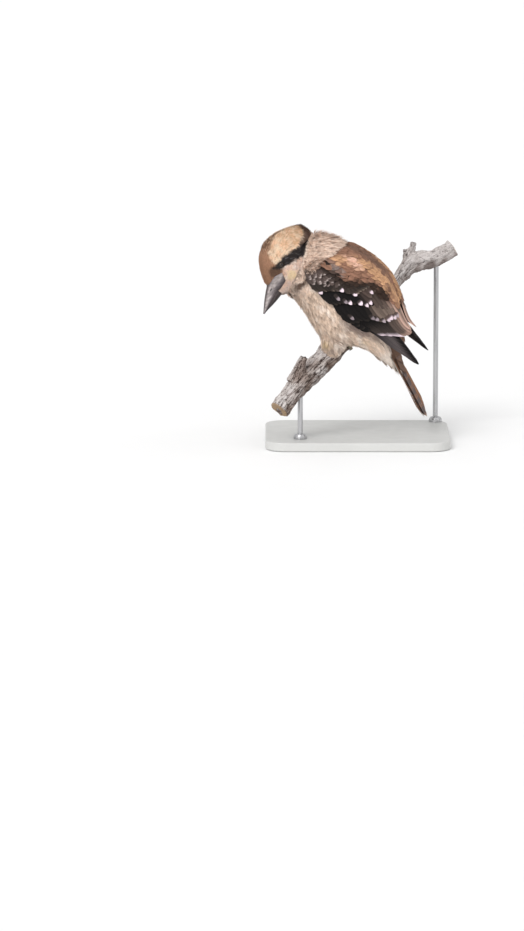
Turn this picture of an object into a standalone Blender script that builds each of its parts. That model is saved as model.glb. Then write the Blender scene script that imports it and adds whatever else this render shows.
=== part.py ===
"""A laughing kookaburra, life size, bowed over on a short cut length of dead branch.

The branch stands on two rods and a flat base. Units are metres, +Z is up, and the origin is
the middle of the base's underside. The bird's left side and its bill face -Y and -X.

Every part of the bird is laid out in its own frame, +X to the bill or head, +Y to the bird's
left and +Z to its back or crown, in millimetres, and is then posed. Poses and the branch are
set out on an upright picture plane that leans back by LEAN.
"""

import math
import random

import bmesh
import bpy
from mathutils import Matrix, Vector

MM = 0.001
GAP = 0.3  # left between any two pieces
SEED = 41

# The pose. PITCH lifts a frame's +X from the level, TOWARD turns it to the viewer at -Y,
# and ROLL tips its +Z to the viewer.
LEAN = math.radians(10)
CENTRE = Vector((0.0, -34.0, 197.0))  # the middle of the torso, from the origin
BODY_PITCH, BODY_TOWARD, BODY_ROLL = 47, 4, 24
HEAD_PITCH, HEAD_TOWARD, HEAD_ROLL = -57, 12, 22
EYE_LEVEL = (-113.0, 0.0, 48.5)  # where the head frame's origin lies on the picture plane

# Sections of the torso: distance behind its middle, belly, back, half width.
TORSO = (
    (-71, -42, 16, 20),
    (-67, -54, 31, 33),
    (-57, -63, 43, 43.5),
    (-34, -66, 51, 49),
    (-11, -71, 57, 50),
    (5, -72, 56, 49),
    (26, -60, 47, 45),
    (43, -44, 36, 38),
    (62, -35, 24, 29),
    (80, -31, 11, 19),
    (92, -29, 0, 12),
)
# Sections of the neck, in the torso's frame: distance ahead of its middle, throat, nape, half width.
NECK = (
    (46, -55, 30, 33),
    (62, -66, 37, 39),
    (77, -64, 36, 35),
    (92, -53, 28, 26),
    (104, -39, 20, 15),
)
# Sections of the head: distance ahead of the eyes, chin, crown, half width.
HEAD = (
    (29, -32, -7, 9.5),
    (24, -36, 1, 15),
    (15, -41, 13, 20.5),
    (2, -44, 24, 26),
    (-12, -44, 27, 29.5),
    (-28, -42, 24.5, 30.5),
    (-43, -37, 17.5, 28),
    (-56, -28, 8.5, 20),
    (-64, -19, 2, 9),
)
# Sections of the bill: distance ahead of the eyes, keel, mouth line, ridge, half width.
BILL = (
    (29.3, -31.5, -22.0, -8.0, 9.0),
    (38, -32.2, -23.0, -12.0, 8.0),
    (48, -31.0, -24.2, -17.0, 6.2),
    (57, -28.6, -25.4, -22.2, 3.6),
    (63, -27.2, -26.4, -25.4, 1.2),
)
NOSTRIL = (35.5, 5.6, -14.4)  # ahead of the eyes, outward, up
NOSTRIL_SIZE = (2.6, 1.6, 0.7)
NOSTRIL_SLANT = 22
# The mouth line's last stretch: middle, the turn out from straight ahead, and size.
GAPE = (22, 15.2, -21.6)
GAPE_TURN = 26
GAPE_SIZE = (20, 5, 0.8)
EYE_RADIUS = 5.6
EYE_SIDE = 20.6  # the eye's middle, out from the head's midline
LID_RADIUS, LID_THICKNESS, LID_OUT = 4.9, 0.9, 3.6

# The folded wing: a sheet that lies on the torso and runs on straight to the tips.
# Distance behind the torso's middle, half width, half depth, middle height.
WING = (
    (-76, 38, 45, -13),
    (-60, 46, 55, -11),
    (-34, 51, 60, -8),
    (-11, 52, 63, -8),
    (5, 51, 62, -8),
    (26, 48, 51, -5),
    (43, 43.5, 37, 1),
    (64, 37, 26, 3),
    (80, 34, 22.5, 5),
    (96, 32.5, 20.5, 6.5),
    (116, 31.5, 19.5, 7),
)
# The flight feathers' innermost and outermost lines, in degrees round the body from the back:
# distance behind the torso's middle, innermost, outermost.
FLIGHT_LINES = (
    (-20, 32, 106),
    (5, 31, 104),
    (30, 31, 99),
    (55, 34, 92),
    (75, 38, 86),
    (96, 42, 78),
    (116, 42, 73),
)
# The wing's fleshy part, which carries the roots: distance behind the torso's middle,
# upper edge and lower edge in degrees.
WING_CORE = (
    (-76, 66, 90),
    (-66, 50, 102),
    (-50, 34, 108),
    (-25, 24, 110),
    (0, 20, 108),
    (20, 19, 104),
)
CORE_HEIGHT, CORE_DEPTH = 5.2, 3.0
# How far behind the torso's middle each flight feather ends, from the back to the wing's
# lower edge.
TERTIAL_TIPS = (66, 73, 77, 78)
SECONDARY_TIPS = (75, 72, 69, 65, 60)
PRIMARY_TIPS = (72, 83, 92, 100, 107, 113, 116, 108)
FLIGHT_ROOT = 6.0
TERTIAL_WIDTH, SECONDARY_WIDTH, PRIMARY_WIDTH = 15.5, 14.0, 11.0
VANE_THICKNESS, VANE_STEP, VANE_LEAST = 0.55, 0.88, 0.7
VANE_TAPER = 0.2  # how much thinner a vane is at its tip
STEEPEST = 0.5  # the most that a vane tilts across, as a slope
# Tiers over the flight feathers' roots: count, root, first and last tip, degrees of the first
# and last, width, height at the root and over the vanes below.
COVERTS = (
    ("greater covert", 8, -4, (38, 26), (47, 99), 14.5, 3.0, 5.4),
    ("median covert", 7, -34, (10, 0), (52, 100), 15.0, 3.0, 5.9),
    ("scapular", 6, -30, (36, 24), (27, 53), 14.5, 3.0, 5.8),
)
COVERT_SLOPE = 0.16

TAIL_ROOT = (-37.0, 0.0, -2.0)  # in the torso's frame
TAIL_DROOP = 16.2
# Sections of the tail's fleshy root: distance from its root, half width, half depth.
TAIL_CORE = (
    (40, 9, 5),
    (55, 12, 5),
    (68, 13.5, 4.4),
    (78, 13.5, 3.4),
)
# Six rectrices a side: the middle pair lie flat on top, the others slope like shingles.
RECTRIX_TIPS = (148, 146.5, 144, 141, 137, 131)
RECTRIX_ROOT, RECTRIX_WIDTH, RECTRIX_SPACING = 50.0, 11.0, 2.4
RECTRIX_FAN = 0.35  # how much closer they lie at the root than at the tips
MIDDLE_PAIR_HEIGHTS = (2.8, 1.9)
# Coverts over and under the tail, in its frame: count, half spread, distance and height of
# the root and of the tip, width.
TAIL_COVERTS = (
    ("vent covert", 5, 9.0, (16, -24), (55, -20.5), 11.0),
    ("undertail covert", 5, 7.5, (34, -12), (74, -12.5), 11.0),
    ("uppertail covert", 5, 8.5, (38, 11), (84, 5.5), 11.0),
)

# The branch on the picture plane: across, away from the viewer, up, radius.
PERCH = (
    (-107, -24, -148, 14.5),
    (-94, -16, -132, 14.5),
    (-77, -4, -112, 15.2),
    (-53, 14, -88, 16.4),
    (-38, 28, -72, 17.0),
    (-15, 52, -47, 16.4),
    (7, 76, -22, 15.0),
    (30, 92, 4, 12.5),
    (52, 100, 28, 10.4),
    (70, 103, 49, 12.0),
    (86, 105, 58, 14.5),
    (104, 107, 61, 13.2),
    (120, 109, 68, 12.8),
    (132, 111, 76, 12.2),
)
# The broken side twigs: foot, end, radius at the foot, radius at the end.
STUBS = (
    ((-84, -8, -110), (-73, -16, -76), 14.5, 5.5),
    ((72, 103, 56), (78, 101, 84), 10.0, 4.0),
    ((70, 103, 54), (66, 104, 74), 8.0, 3.6),
)

BASE_LENGTH, BASE_WIDTH, BASE_THICKNESS, BASE_CORNER = 250.0, 190.0, 12.0, 28.0
BASE_BEVEL = 1.5
ROD_RADIUS, ROD_BITE = 3.5, 9.0  # how far a rod goes up into the branch
COLLAR_RADIUS, COLLAR_HEIGHT = 9.0, 7.0
ROD_SECTIONS = (0.15, 0.87)  # where along the branch the rods stand

# Each foot: its side, and how far along the branch it grips.
FEET = (("left", 0.345), ("right", 0.425))
TOE_RADIUS = 2.7
SHANK_LENGTH = 16.0
BARK_REACH = 1.09  # the branch's highest ridge, as a share of its radius
# Each toe: how far along the branch its tip ends up, and how far round it bends, in degrees.
TOES = ((-0.026, 96), (0.0, 110), (0.024, 94), (0.004, -62))
# The feathered thighs, in the torso's frame: sections from inside the belly down to the foot,
# as ahead, outward, up and radius.
THIGH = (
    (6, 12, -28, 15),
    (-8, 16, -43, 20),
    (-17, 18, -56, 20.5),
    (-24, 18, -67, 15.5),
    (-31, 17, -77, 8),
)
THIGH_LEAN = 127  # degrees from ahead, by way of down

COLOURS = {
    "cream plumage": ((0.72, 0.58, 0.45), 0.85, 0.0),
    "brown plumage": ((0.12, 0.07, 0.045), 0.8, 0.0),
    "rufous plumage": ((0.30, 0.13, 0.06), 0.8, 0.0),
    "horn": ((0.14, 0.13, 0.13), 0.4, 0.0),
    "eye": ((0.015, 0.01, 0.008), 0.05, 0.0),
    "scaly skin": ((0.35, 0.31, 0.22), 0.6, 0.0),
    "dead wood": ((0.36, 0.33, 0.31), 0.9, 0.0),
    "pale painted metal": ((0.72, 0.72, 0.70), 0.45, 0.0),
    "brushed steel": ((0.55, 0.55, 0.56), 0.35, 1.0),
}


def clear_scene():
    for old in list(bpy.data.objects):
        bpy.data.objects.remove(old, do_unlink=True)


def collection(name):
    made = bpy.data.collections.new(name)
    bpy.context.scene.collection.children.link(made)
    return made


def material(name):
    colour, roughness, metallic = COLOURS[name]
    made = bpy.data.materials.get(name) or bpy.data.materials.new(name)
    made.use_nodes = True
    shader = made.node_tree.nodes["Principled BSDF"]
    shader.inputs["Base Color"].default_value = (*colour, 1.0)
    shader.inputs["Roughness"].default_value = roughness
    shader.inputs["Metallic"].default_value = metallic
    return made


def picture_frame():
    """From the picture plane's millimetres to the world's metres."""
    return Matrix.Scale(MM, 4) @ Matrix.Translation(CENTRE) @ Matrix.Rotation(-LEAN, 4, "X")


def pose(pitch, toward, roll, origin):
    """The matrix of a bird's frame on the picture plane."""
    pitch, toward, roll = (math.radians(angle) for angle in (pitch, toward, roll))
    level = math.cos(toward)
    forward = Vector((-math.cos(pitch) * level, -math.sin(toward), math.sin(pitch) * level))
    left = Vector((0, -1, 0)) + forward * forward.y
    left.normalize()
    up = forward.cross(left)
    axes = Matrix((forward, left * math.cos(roll) - up * math.sin(roll),
                   up * math.cos(roll) + left * math.sin(roll))).transposed()
    return Matrix.Translation(origin) @ axes.to_4x4()


def catmull_rom(rows, place):
    """The row at a place from 0 to 1 on a smooth curve through these rows."""
    reach = place * (len(rows) - 1)
    start = min(int(reach), len(rows) - 2)
    t = reach - start
    before = rows[max(start - 1, 0)]
    after = rows[min(start + 2, len(rows) - 1)]
    near = rows[start]
    far = rows[start + 1]
    return [
        0.5 * (2 * b + (c - a) * t + (2 * a - 5 * b + 4 * c - d) * t * t + (3 * b - a - 3 * c + d) * t**3)
        for a, b, c, d in zip(before, near, far, after)
    ]


def at_station(rows, station):
    """The rest of the row whose first number is this station."""
    low, high = 0.0, 1.0
    for _ in range(24):
        middle = (low + high) / 2
        if catmull_rom(rows, middle)[0] < station:
            low = middle
        else:
            high = middle
    return catmull_rom(rows, low)[1:]


def mesh_object(name, points, faces, looks, home):
    data = bpy.data.meshes.new(name)
    data.from_pydata([tuple(point) for point in points], [], faces)
    data.materials.append(material(looks))
    made = bpy.data.objects.new(name, data)
    home.objects.link(made)
    return made


def outward(obj):
    work = bmesh.new()
    work.from_mesh(obj.data)
    bmesh.ops.recalc_face_normals(work, faces=work.faces)
    work.to_mesh(obj.data)
    work.free()


def loft(name, rings, looks, home):
    """A closed skin over rings of as many points each, its two ends closed by fans."""
    count = len(rings[0])
    points = [point for ring in rings for point in ring]
    faces = []
    for row in range(len(rings) - 1):
        for side in range(count):
            here = row * count + side
            beside = row * count + (side + 1) % count
            faces.append((here, beside, beside + count))
            faces.append((here, beside + count, here + count))
    for ring, first in ((rings[0], 0), (rings[-1], (len(rings) - 1) * count)):
        middle = len(points)
        points.append(sum(ring, Vector()) / count)
        faces += [(first + (side + 1) % count, first + side, middle) for side in range(count)]
    made = mesh_object(name, points, faces, looks, home)
    outward(made)
    return made


def oval_ring(along, low, high, half, sides, grow=0.0, fullness=1.0):
    """One upright section: an oval from low to high, squarer as fullness falls."""
    middle = (low + high) / 2
    depth = (high - low) / 2 + grow
    ring = []
    for step in range(sides):
        angle = math.tau * step / sides
        across = math.sin(angle)
        upward = math.cos(angle)
        across = math.copysign(abs(across) ** fullness, across)
        upward = math.copysign(abs(upward) ** fullness, upward)
        ring.append(Vector((along, across * (half + grow), middle + upward * depth)))
    return ring


def body_loft(name, rows, ahead, steps, sides, frame, looks, home, grow=0.0):
    """A loft through smooth sections, grown on every side where it serves as a cutter."""
    rings = []
    for step in range(steps + 1):
        along, low, high, half = catmull_rom(rows, step / steps)
        end = (-grow if step == 0 else grow if step == steps else 0.0)
        if rows[0][0] > rows[-1][0]:
            end = -end
        ring = oval_ring(ahead * (along + end), low, high, half, sides, grow, 0.92)
        rings.append([frame @ point for point in ring])
    return loft(name, rings, looks, home)


def evaluated_mesh(obj):
    bpy.context.view_layer.update()
    graph = bpy.context.evaluated_depsgraph_get()
    return bpy.data.meshes.new_from_object(obj.evaluated_get(graph))


def apply_modifiers(obj):
    data = evaluated_mesh(obj)
    obj.modifiers.clear()
    obj.data = data


def join(target, pieces, home):
    """One Boolean union of a node and the pieces that grow from it."""
    group = collection(target.name + " pieces")
    for piece in pieces:
        home.objects.unlink(piece)
        group.objects.link(piece)
    union = target.modifiers.new("union", "BOOLEAN")
    union.operation = "UNION"
    union.operand_type = "COLLECTION"
    union.collection = group
    union.solver = "MANIFOLD"
    apply_modifiers(target)
    for piece in pieces:
        bpy.data.objects.remove(piece, do_unlink=True)
    bpy.data.collections.remove(group)


def cut(target, cutters):
    for cutter in cutters:
        difference = target.modifiers.new("cut", "BOOLEAN")
        difference.operation = "DIFFERENCE"
        difference.object = cutter
        difference.solver = "MANIFOLD"
        apply_modifiers(target)


def keep_largest(obj):
    """Leaves the largest closed surface, without loose scraps or sealed hollows."""
    work = bmesh.new()
    work.from_mesh(obj.data)
    left = set(work.faces)
    shells = []
    while left:
        shell = set()
        edge_of_shell = [left.pop()]
        while edge_of_shell:
            face = edge_of_shell.pop()
            shell.add(face)
            for edge in face.edges:
                for neighbour in edge.link_faces:
                    if neighbour in left:
                        left.remove(neighbour)
                        edge_of_shell.append(neighbour)
        shells.append(shell)
    shells.sort(key=lambda shell: sum(face.calc_area() for face in shell))
    scraps = [face for shell in shells[:-1] for face in shell]
    bmesh.ops.delete(work, geom=scraps, context="FACES")
    work.to_mesh(obj.data)
    work.free()


def smooth(obj, degrees=40):
    obj.data.shade_smooth()
    obj.data.set_sharp_from_angle(angle=math.radians(degrees))


def ball(name, radius, place, frame, looks, home, stretch=(1, 1, 1), sides=16):
    work = bmesh.new()
    bmesh.ops.create_uvsphere(work, u_segments=sides, v_segments=sides * 5 // 8, radius=radius)
    data = bpy.data.meshes.new(name)
    work.to_mesh(data)
    work.free()
    data.materials.append(material(looks))
    made = bpy.data.objects.new(name, data)
    home.objects.link(made)
    data.transform(frame @ Matrix.Translation(place) @ Matrix.Diagonal((*stretch, 1)))
    return made


def along_path(rows, place):
    """A point on the branch's middle line, its direction there and its radius."""
    here = catmull_rom(rows, place)
    ahead = catmull_rom(rows, min(place + 0.01, 1.0))
    behind = catmull_rom(rows, max(place - 0.01, 0.0))
    direction = (Vector(ahead[:3]) - Vector(behind[:3])).normalized()
    return Vector(here[:3]), direction, here[3]


def round_ring(centre, direction, radius, sides, bump=None):
    """One section across a direction; bump gives the share to add at an angle."""
    side = direction.cross(Vector((0, 0, 1))).normalized()
    top = side.cross(direction)
    ring = []
    for step in range(sides):
        angle = math.tau * step / sides
        reach = radius * (1 + (bump(angle) if bump else 0.0))
        ring.append(centre + side * (reach * math.cos(angle)) + top * (reach * math.sin(angle)))
    return ring


def branch(name, frame, home, grow=0.0):
    """The branch's own tube, with the long ridges of its weathered wood."""
    rings = []
    steps, sides = 30, 14
    for step in range(steps + 1):
        place = step / steps
        centre, direction, radius = along_path(PERCH, place)
        twist = 1.3 * place

        def ridges(angle):
            return 0.05 * math.sin(3 * angle + 5 * twist) + 0.03 * math.sin(5 * angle - 9 * twist)

        end = -grow if step == 0 else grow if step == steps else 0.0
        ring = round_ring(centre + direction * end, direction, radius, sides, ridges)
        if grow:
            ring = [point + (point - centre).normalized() * grow for point in ring]
        rings.append([frame @ point for point in ring])
    return loft(name, rings, "dead wood", home)


def stubs(frame, home, grow=0.0):
    made = []
    for index, (foot, end, wide, narrow) in enumerate(STUBS):
        foot, end = Vector(foot), Vector(end)
        direction = (end - foot).normalized()
        rings = []
        for share, radius in ((0, wide), (0.5, (wide + narrow) / 2), (1, narrow)):
            centre = foot.lerp(end, share)
            ring = round_ring(centre, direction, radius + grow, 10)
            rings.append([frame @ point for point in ring])
        made.append(loft(f"stub {index}", rings, "dead wood", home))
    return made


def rod_tops(frame):
    """Where the rods end inside the branch, in the world's millimetres."""
    tops = []
    for place in ROD_SECTIONS:
        centre, _, radius = along_path(PERCH, place)
        world = (frame @ centre) / MM
        tops.append(Vector((world.x, world.y, world.z - radius + ROD_BITE)))
    return tops


def rod(name, top, home):
    """A turned rod with a collar at its foot, from a profile and a Screw modifier."""
    foot = BASE_THICKNESS + GAP
    profile = (
        (0, top.z),
        (ROD_RADIUS - 0.6, top.z),
        (ROD_RADIUS, top.z - 0.6),
        (ROD_RADIUS, foot + COLLAR_HEIGHT),
        (COLLAR_RADIUS - 2, foot + COLLAR_HEIGHT - 1),
        (COLLAR_RADIUS, foot + COLLAR_HEIGHT - 4),
        (COLLAR_RADIUS, foot),
        (0, foot),
    )
    points = [Vector((radius * MM, 0, height * MM)) for radius, height in profile]
    edges = [(index, index + 1) for index in range(len(points) - 1)]
    data = bpy.data.meshes.new(name)
    data.from_pydata([tuple(point) for point in points], edges, [])
    data.materials.append(material("brushed steel"))
    made = bpy.data.objects.new(name, data)
    home.objects.link(made)
    made.location = (top.x * MM, top.y * MM, 0)
    screw = made.modifiers.new("turn", "SCREW")
    screw.steps = 20
    screw.render_steps = 20
    screw.use_merge_vertices = True
    screw.merge_threshold = 0.00005
    return made


def rod_hole(top, name, home):
    """The blind hole that a rod's end sits in."""
    bpy.ops.mesh.primitive_cylinder_add(
        vertices=20,
        radius=(ROD_RADIUS + GAP) * MM,
        depth=60 * MM,
        location=(top.x * MM, top.y * MM, (top.z + GAP - 30) * MM),
    )
    made = bpy.context.object
    made.name = name
    for old in list(made.users_collection):
        old.objects.unlink(made)
    home.objects.link(made)
    return made


def base(home):
    bpy.ops.mesh.primitive_cube_add(size=1, location=(0, 0, BASE_THICKNESS / 2 * MM))
    made = bpy.context.object
    made.name = "stand_base"
    made.data.transform(Matrix.Diagonal((BASE_LENGTH * MM, BASE_WIDTH * MM, BASE_THICKNESS * MM, 1)))
    work = bmesh.new()
    work.from_mesh(made.data)
    upright = [edge for edge in work.edges if abs(edge.verts[0].co.z - edge.verts[1].co.z) > 0.001]
    bmesh.ops.bevel(work, geom=upright, offset=BASE_CORNER * MM, segments=8, profile=0.5, affect="EDGES")
    work.to_mesh(made.data)
    work.free()
    for old in list(made.users_collection):
        old.objects.unlink(made)
    home.objects.link(made)
    edges = made.modifiers.new("edges", "BEVEL")
    edges.width = BASE_BEVEL * MM
    edges.segments = 2
    edges.limit_method = "ANGLE"
    edges.angle_limit = math.radians(60)
    made.data.materials.append(material("pale painted metal"))
    smooth(made)
    return made


def vane(name, at, width, looks, home, rows=4, root=0.6):
    """A thin tapering feather; at(share, across, height) gives its points, in a node's frame."""
    points = []
    for row in range(rows + 1):
        share = row / rows
        blade = min(1.0, root + 1.4 * share * (1 - root))
        blade *= math.sqrt(max(0.03, 1 - max(0.0, (share - 0.6) / 0.4) ** 2.5))
        half = VANE_THICKNESS * (1 - VANE_TAPER * share) / 2
        for across, height in ((-1, half), (1, half), (1, -half), (-1, -half)):
            points.append(at(share, across * blade * width / 2, height))
    faces = [(0, 1, 2), (0, 2, 3)]
    for row in range(rows):
        a, b, c, d = range(row * 4, row * 4 + 4)
        # The upper and the lower face are split along the same line.
        faces += [(a, b, b + 4), (a, b + 4, a + 4), (d, c + 4, c), (d, d + 4, c + 4)]
        faces += [(b, c, c + 4), (b, c + 4, b + 4), (d, a, a + 4), (d, a + 4, d + 4)]
    last = rows * 4
    faces += [(last, last + 2, last + 1), (last, last + 3, last + 2)]
    made = mesh_object(name, points, faces, looks, home)
    outward(made)
    return made


def wing_point(side, along, around, height):
    """A point of the wing sheet, in the torso's frame: along the body, round it, and out from it."""
    half, depth, middle = at_station(WING, along)
    angle = math.radians(around)
    across = math.sin(angle)
    upward = math.cos(angle)
    out = Vector((0, across / half, upward / depth)).normalized()
    point = Vector((-along, across * half, middle + upward * depth)) + out * height
    point.y *= side
    return point


def degree_length(along, around):
    """Millimetres a degree along the wing sheet's section."""
    half, depth, _ = at_station(WING, along)
    angle = math.radians(around)
    return math.radians(math.hypot(half * math.cos(angle), depth * math.sin(angle)))


def walk_round(along, around, across):
    """The degrees reached from here by going this many millimetres round the sheet."""
    strides = 3
    for _ in range(strides):
        around += across / strides / degree_length(along, around)
    return around


def wing_core(name, side, frame, home):
    """The folded wing's closed front part, in which every feather's root is sunk."""
    rings = []
    steps, spans = 9, 6
    first, last = WING_CORE[0][0], WING_CORE[-1][0]
    for step in range(steps + 1):
        along = first + (last - first) * step / steps
        upper, lower = at_station(WING_CORE, along)
        rim = math.sqrt(1 - (1 - min(1.0, 0.15 + 4.2 * step / steps)) ** 2)
        outer = []
        inner = []
        for span in range(spans + 1):
            around = upper + (lower - upper) * span / spans
            swell = 0.55 + 0.45 * math.sin(math.pi * span / spans) ** 0.5
            outer.append(frame @ wing_point(side, along, around, CORE_HEIGHT * swell * rim))
            inner.append(frame @ wing_point(side, along, around, -CORE_DEPTH * rim))
        rings.append(outer + inner[::-1])
    return loft(name, rings, "brown plumage", home)


def flight_feathers(side, frame, home):
    """Tertials, secondaries and primaries: each lies over the next one down."""
    tips = TERTIAL_TIPS + SECONDARY_TIPS + PRIMARY_TIPS
    widths = [TERTIAL_WIDTH] * len(TERTIAL_TIPS) + [SECONDARY_WIDTH] * len(SECONDARY_TIPS)
    widths += [PRIMARY_WIDTH] * len(PRIMARY_TIPS)
    last = len(tips) - 1
    made = []
    for index, (tip, width) in enumerate(zip(tips, widths)):

        def at(share, across, height):
            along = FLIGHT_ROOT + (tip - FLIGHT_ROOT) * share
            inner, outer = at_station(FLIGHT_LINES, along)
            around = inner + (outer - inner) * index / last
            apart = (outer - inner) / last * degree_length(along, around)
            slope = min(STEEPEST, VANE_STEP / apart)
            stacked = (last - index) * max(0.0, VANE_STEP - slope * apart)
            level = VANE_LEAST + slope * SECONDARY_WIDTH / 2 + stacked + slope * across + height
            return frame @ wing_point(side, along, walk_round(along, around, across), level)

        made.append(vane(f"flight {index}", at, width, "brown plumage", home))
    return made


def covert_feathers(side, frame, home, draw):
    made = []
    for kind, count, root, tips, degrees, width, sunk, level in COVERTS:
        for index in range(count):
            share_across = index / (count - 1)
            tip = tips[0] + (tips[1] - tips[0]) * share_across + draw.uniform(-1.2, 1.2)
            around_root = degrees[0] + (degrees[1] - degrees[0]) * share_across

            def at(share, across, height):
                along = root + (tip - root) * share
                rise = min(1.0, share / 0.5)
                lift = sunk + (level - sunk) * rise * (2 - rise) + COVERT_SLOPE * across + height
                return frame @ wing_point(side, along, walk_round(along, around_root, across), lift)

            made.append(vane(f"{kind} {index}", at, width, "rufous plumage", home, 3))
    return made


def thigh(side, frame, home):
    """The feathered thigh: round sections that run down and back to the foot."""
    rings = []
    for ahead, outwards, up, radius in THIGH:
        ring = oval_ring(0, -radius, radius, 0.85 * radius, 12)
        lean = Matrix.Translation((ahead, side * outwards, up)) @ Matrix.Rotation(math.radians(THIGH_LEAN), 4, "Y")
        rings.append([frame @ lean @ point for point in ring])
    return loft(f"thigh {side}", rings, "cream plumage", home)


def tail_frame(body):
    droop = Matrix.Rotation(math.radians(-TAIL_DROOP), 4, "Y")
    return body @ Matrix.Translation(TAIL_ROOT) @ droop


def tail_core(name, frame, home):
    rings = []
    for along, half, depth in TAIL_CORE:
        rings.append([frame @ point for point in oval_ring(-along, -depth, depth, half, 14, 0.0, 0.8)])
    return loft(name, rings, "brown plumage", home)


def rectrices(frame, home):
    made = []
    for side in (1, -1):
        for index, tip in enumerate(RECTRIX_TIPS):

            def at(share, across, height):
                along = RECTRIX_ROOT + (tip - RECTRIX_ROOT) * share
                close = 1 - RECTRIX_FAN * (1 - share)
                middle = (index + 0.5) * RECTRIX_SPACING * close
                if index == 0:
                    level = MIDDLE_PAIR_HEIGHTS[0 if side == 1 else 1]
                else:
                    level = VANE_STEP / (RECTRIX_SPACING * close) * across
                return frame @ Vector((-along, side * (middle + across), level + height))

            made.append(vane(f"rectrix {side} {index}", at, RECTRIX_WIDTH, "brown plumage", home, 5))
    return made


def tail_coverts(frame, home, draw):
    """The long coverts that lie over and under the tail, grown from the torso."""
    made = []
    for kind, count, spread, root, tip, width in TAIL_COVERTS:
        outwards = math.copysign(VANE_STEP, tip[1])
        for index in range(count):
            place = 2 * index / (count - 1) - 1
            shorter = 6 * abs(place) + draw.uniform(0, 3)
            from_edge = (count - 1) / 2 - abs(index - (count - 1) / 2)
            raised = outwards * (from_edge + 0.4 * (index > count / 2))

            def at(share, across, height):
                along = root[0] + (tip[0] - shorter - root[0]) * share
                lift = root[1] + (tip[1] + raised - root[1]) * share
                return frame @ Vector((-along, place * spread + across, lift + height))

            made.append(vane(f"{kind} {index}", at, width, "cream plumage", home, 3))
    return made


def bill(name, frame, home, upper):
    """One half of the bill, flat along the mouth line."""
    rings = []
    steps, sides = 8, 8
    for step in range(steps + 1):
        along, keel, mouth, ridge, half = catmull_rom(BILL, step / steps)
        start = mouth + GAP / 2 if upper else mouth - GAP / 2
        reach = (ridge if upper else keel) - start
        ring = []
        for side in range(sides + 1):
            angle = math.pi * side / sides
            peak = abs(math.sin(angle)) ** 1.15
            ring.append(Vector((along, math.cos(angle) * half, start + reach * peak)))
        rings.append([frame @ point for point in ring])
    return loft(name, rings, "horn", home)


def nostrils(frame, home):
    """The slits at the upper bill's base, one on each side."""
    made = []
    ahead, outwards, up = NOSTRIL
    for side in (1, -1):
        slit = ball("nostril cutter", 1, (0, 0, 0), Matrix(), "horn", home, NOSTRIL_SIZE, 8)
        slant = Matrix.Rotation(math.radians(NOSTRIL_SLANT), 4, "Y")
        slit.data.transform(frame @ Matrix.Translation((ahead, side * outwards, up)) @ slant)
        made.append(slit)
    return made


def gape_groove(frame, home):
    """The mouth line's last stretch, which runs back into the feathers below the eyes."""
    made = []
    for side in (1, -1):
        bpy.ops.mesh.primitive_cube_add(size=1)
        slot = bpy.context.object
        slot.name = "gape cutter"
        ahead, outwards, up = GAPE
        turn = Matrix.Rotation(math.radians(-side * GAPE_TURN), 4, "Z")
        size = Matrix.Diagonal((*GAPE_SIZE, 1))
        slot.data.transform(frame @ Matrix.Translation((ahead, side * outwards, up)) @ turn @ size)
        for old in list(slot.users_collection):
            old.objects.unlink(slot)
        home.objects.link(slot)
        made.append(slot)
    return made


def lid(name, side, frame, home):
    bpy.ops.mesh.primitive_torus_add(
        major_radius=LID_RADIUS, minor_radius=LID_THICKNESS, major_segments=14, minor_segments=5
    )
    made = bpy.context.object
    made.name = name
    turn = Matrix.Rotation(math.radians(90), 4, "X")
    made.data.transform(frame @ Matrix.Translation((0, side * (EYE_SIDE + LID_OUT), 0)) @ turn)
    for old in list(made.users_collection):
        old.objects.unlink(made)
    home.objects.link(made)
    return made


def grip(place, body_pose):
    """The branch's middle at a foot, its direction, and the ways up to the belly and ahead."""
    centre, direction, radius = along_path(PERCH, place)
    up = body_pose.to_3x3() @ Vector((0, 0, 1))
    up = (up - direction * up.dot(direction)).normalized()
    ahead = direction.cross(up)
    if ahead.dot(body_pose.to_3x3() @ Vector((1, 0, 0))) < 0:
        ahead.negate()
    return centre, direction, radius, up, ahead


def toe(name, place, spread, turn, body_pose, frame, home, grow):
    """A toe and its claw, bent round the branch from its top; spread is where its tip ends up."""
    rings = []
    steps = 7
    for step in range(steps + 1):
        share = step / steps
        centre, direction, radius, up, ahead = grip(place + spread * (0.35 + 0.65 * share), body_pose)
        angle = math.radians(turn * share)
        out = up * math.cos(angle) + ahead * math.sin(angle)
        clawed = max(0.0, (share - 0.7) / 0.3)
        thick = TOE_RADIUS * (1 - 0.2 * share) * (1 - 0.85 * clawed)
        middle = centre + out * (radius * BARK_REACH + GAP + TOE_RADIUS * 0.95)
        ring = []
        for corner in range(6):
            at = math.tau * corner / 6
            ring.append(middle + (direction * math.cos(at) + out * math.sin(at)) * (thick + grow))
        rings.append([frame @ point for point in ring])
    return loft(name, rings, "scaly skin", home)


def leg(name, place, body_pose, frame, home, grow=0.0):
    """The short bare shank, three toes ahead and one behind."""
    centre, direction, radius, up, ahead = grip(place, body_pose)
    foot = centre + up * (radius * BARK_REACH + GAP + TOE_RADIUS * 0.4)
    rings = []
    for height, thick in ((-0.5, 4.2), (3, 4.4), (7, 3.6), (SHANK_LENGTH + grow, 3.4)):
        ring = round_ring(foot + up * height, up, thick + grow, 10)
        rings.append([frame @ point for point in ring])
    shank = loft(name, rings, "scaly skin", home)
    toes = [
        toe(f"{name} toe {index}", place, spread, turn, body_pose, frame, home, grow)
        for index, (spread, turn) in enumerate(TOES)
    ]
    join(shank, toes, home)
    keep_largest(shank)
    return shank


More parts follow.
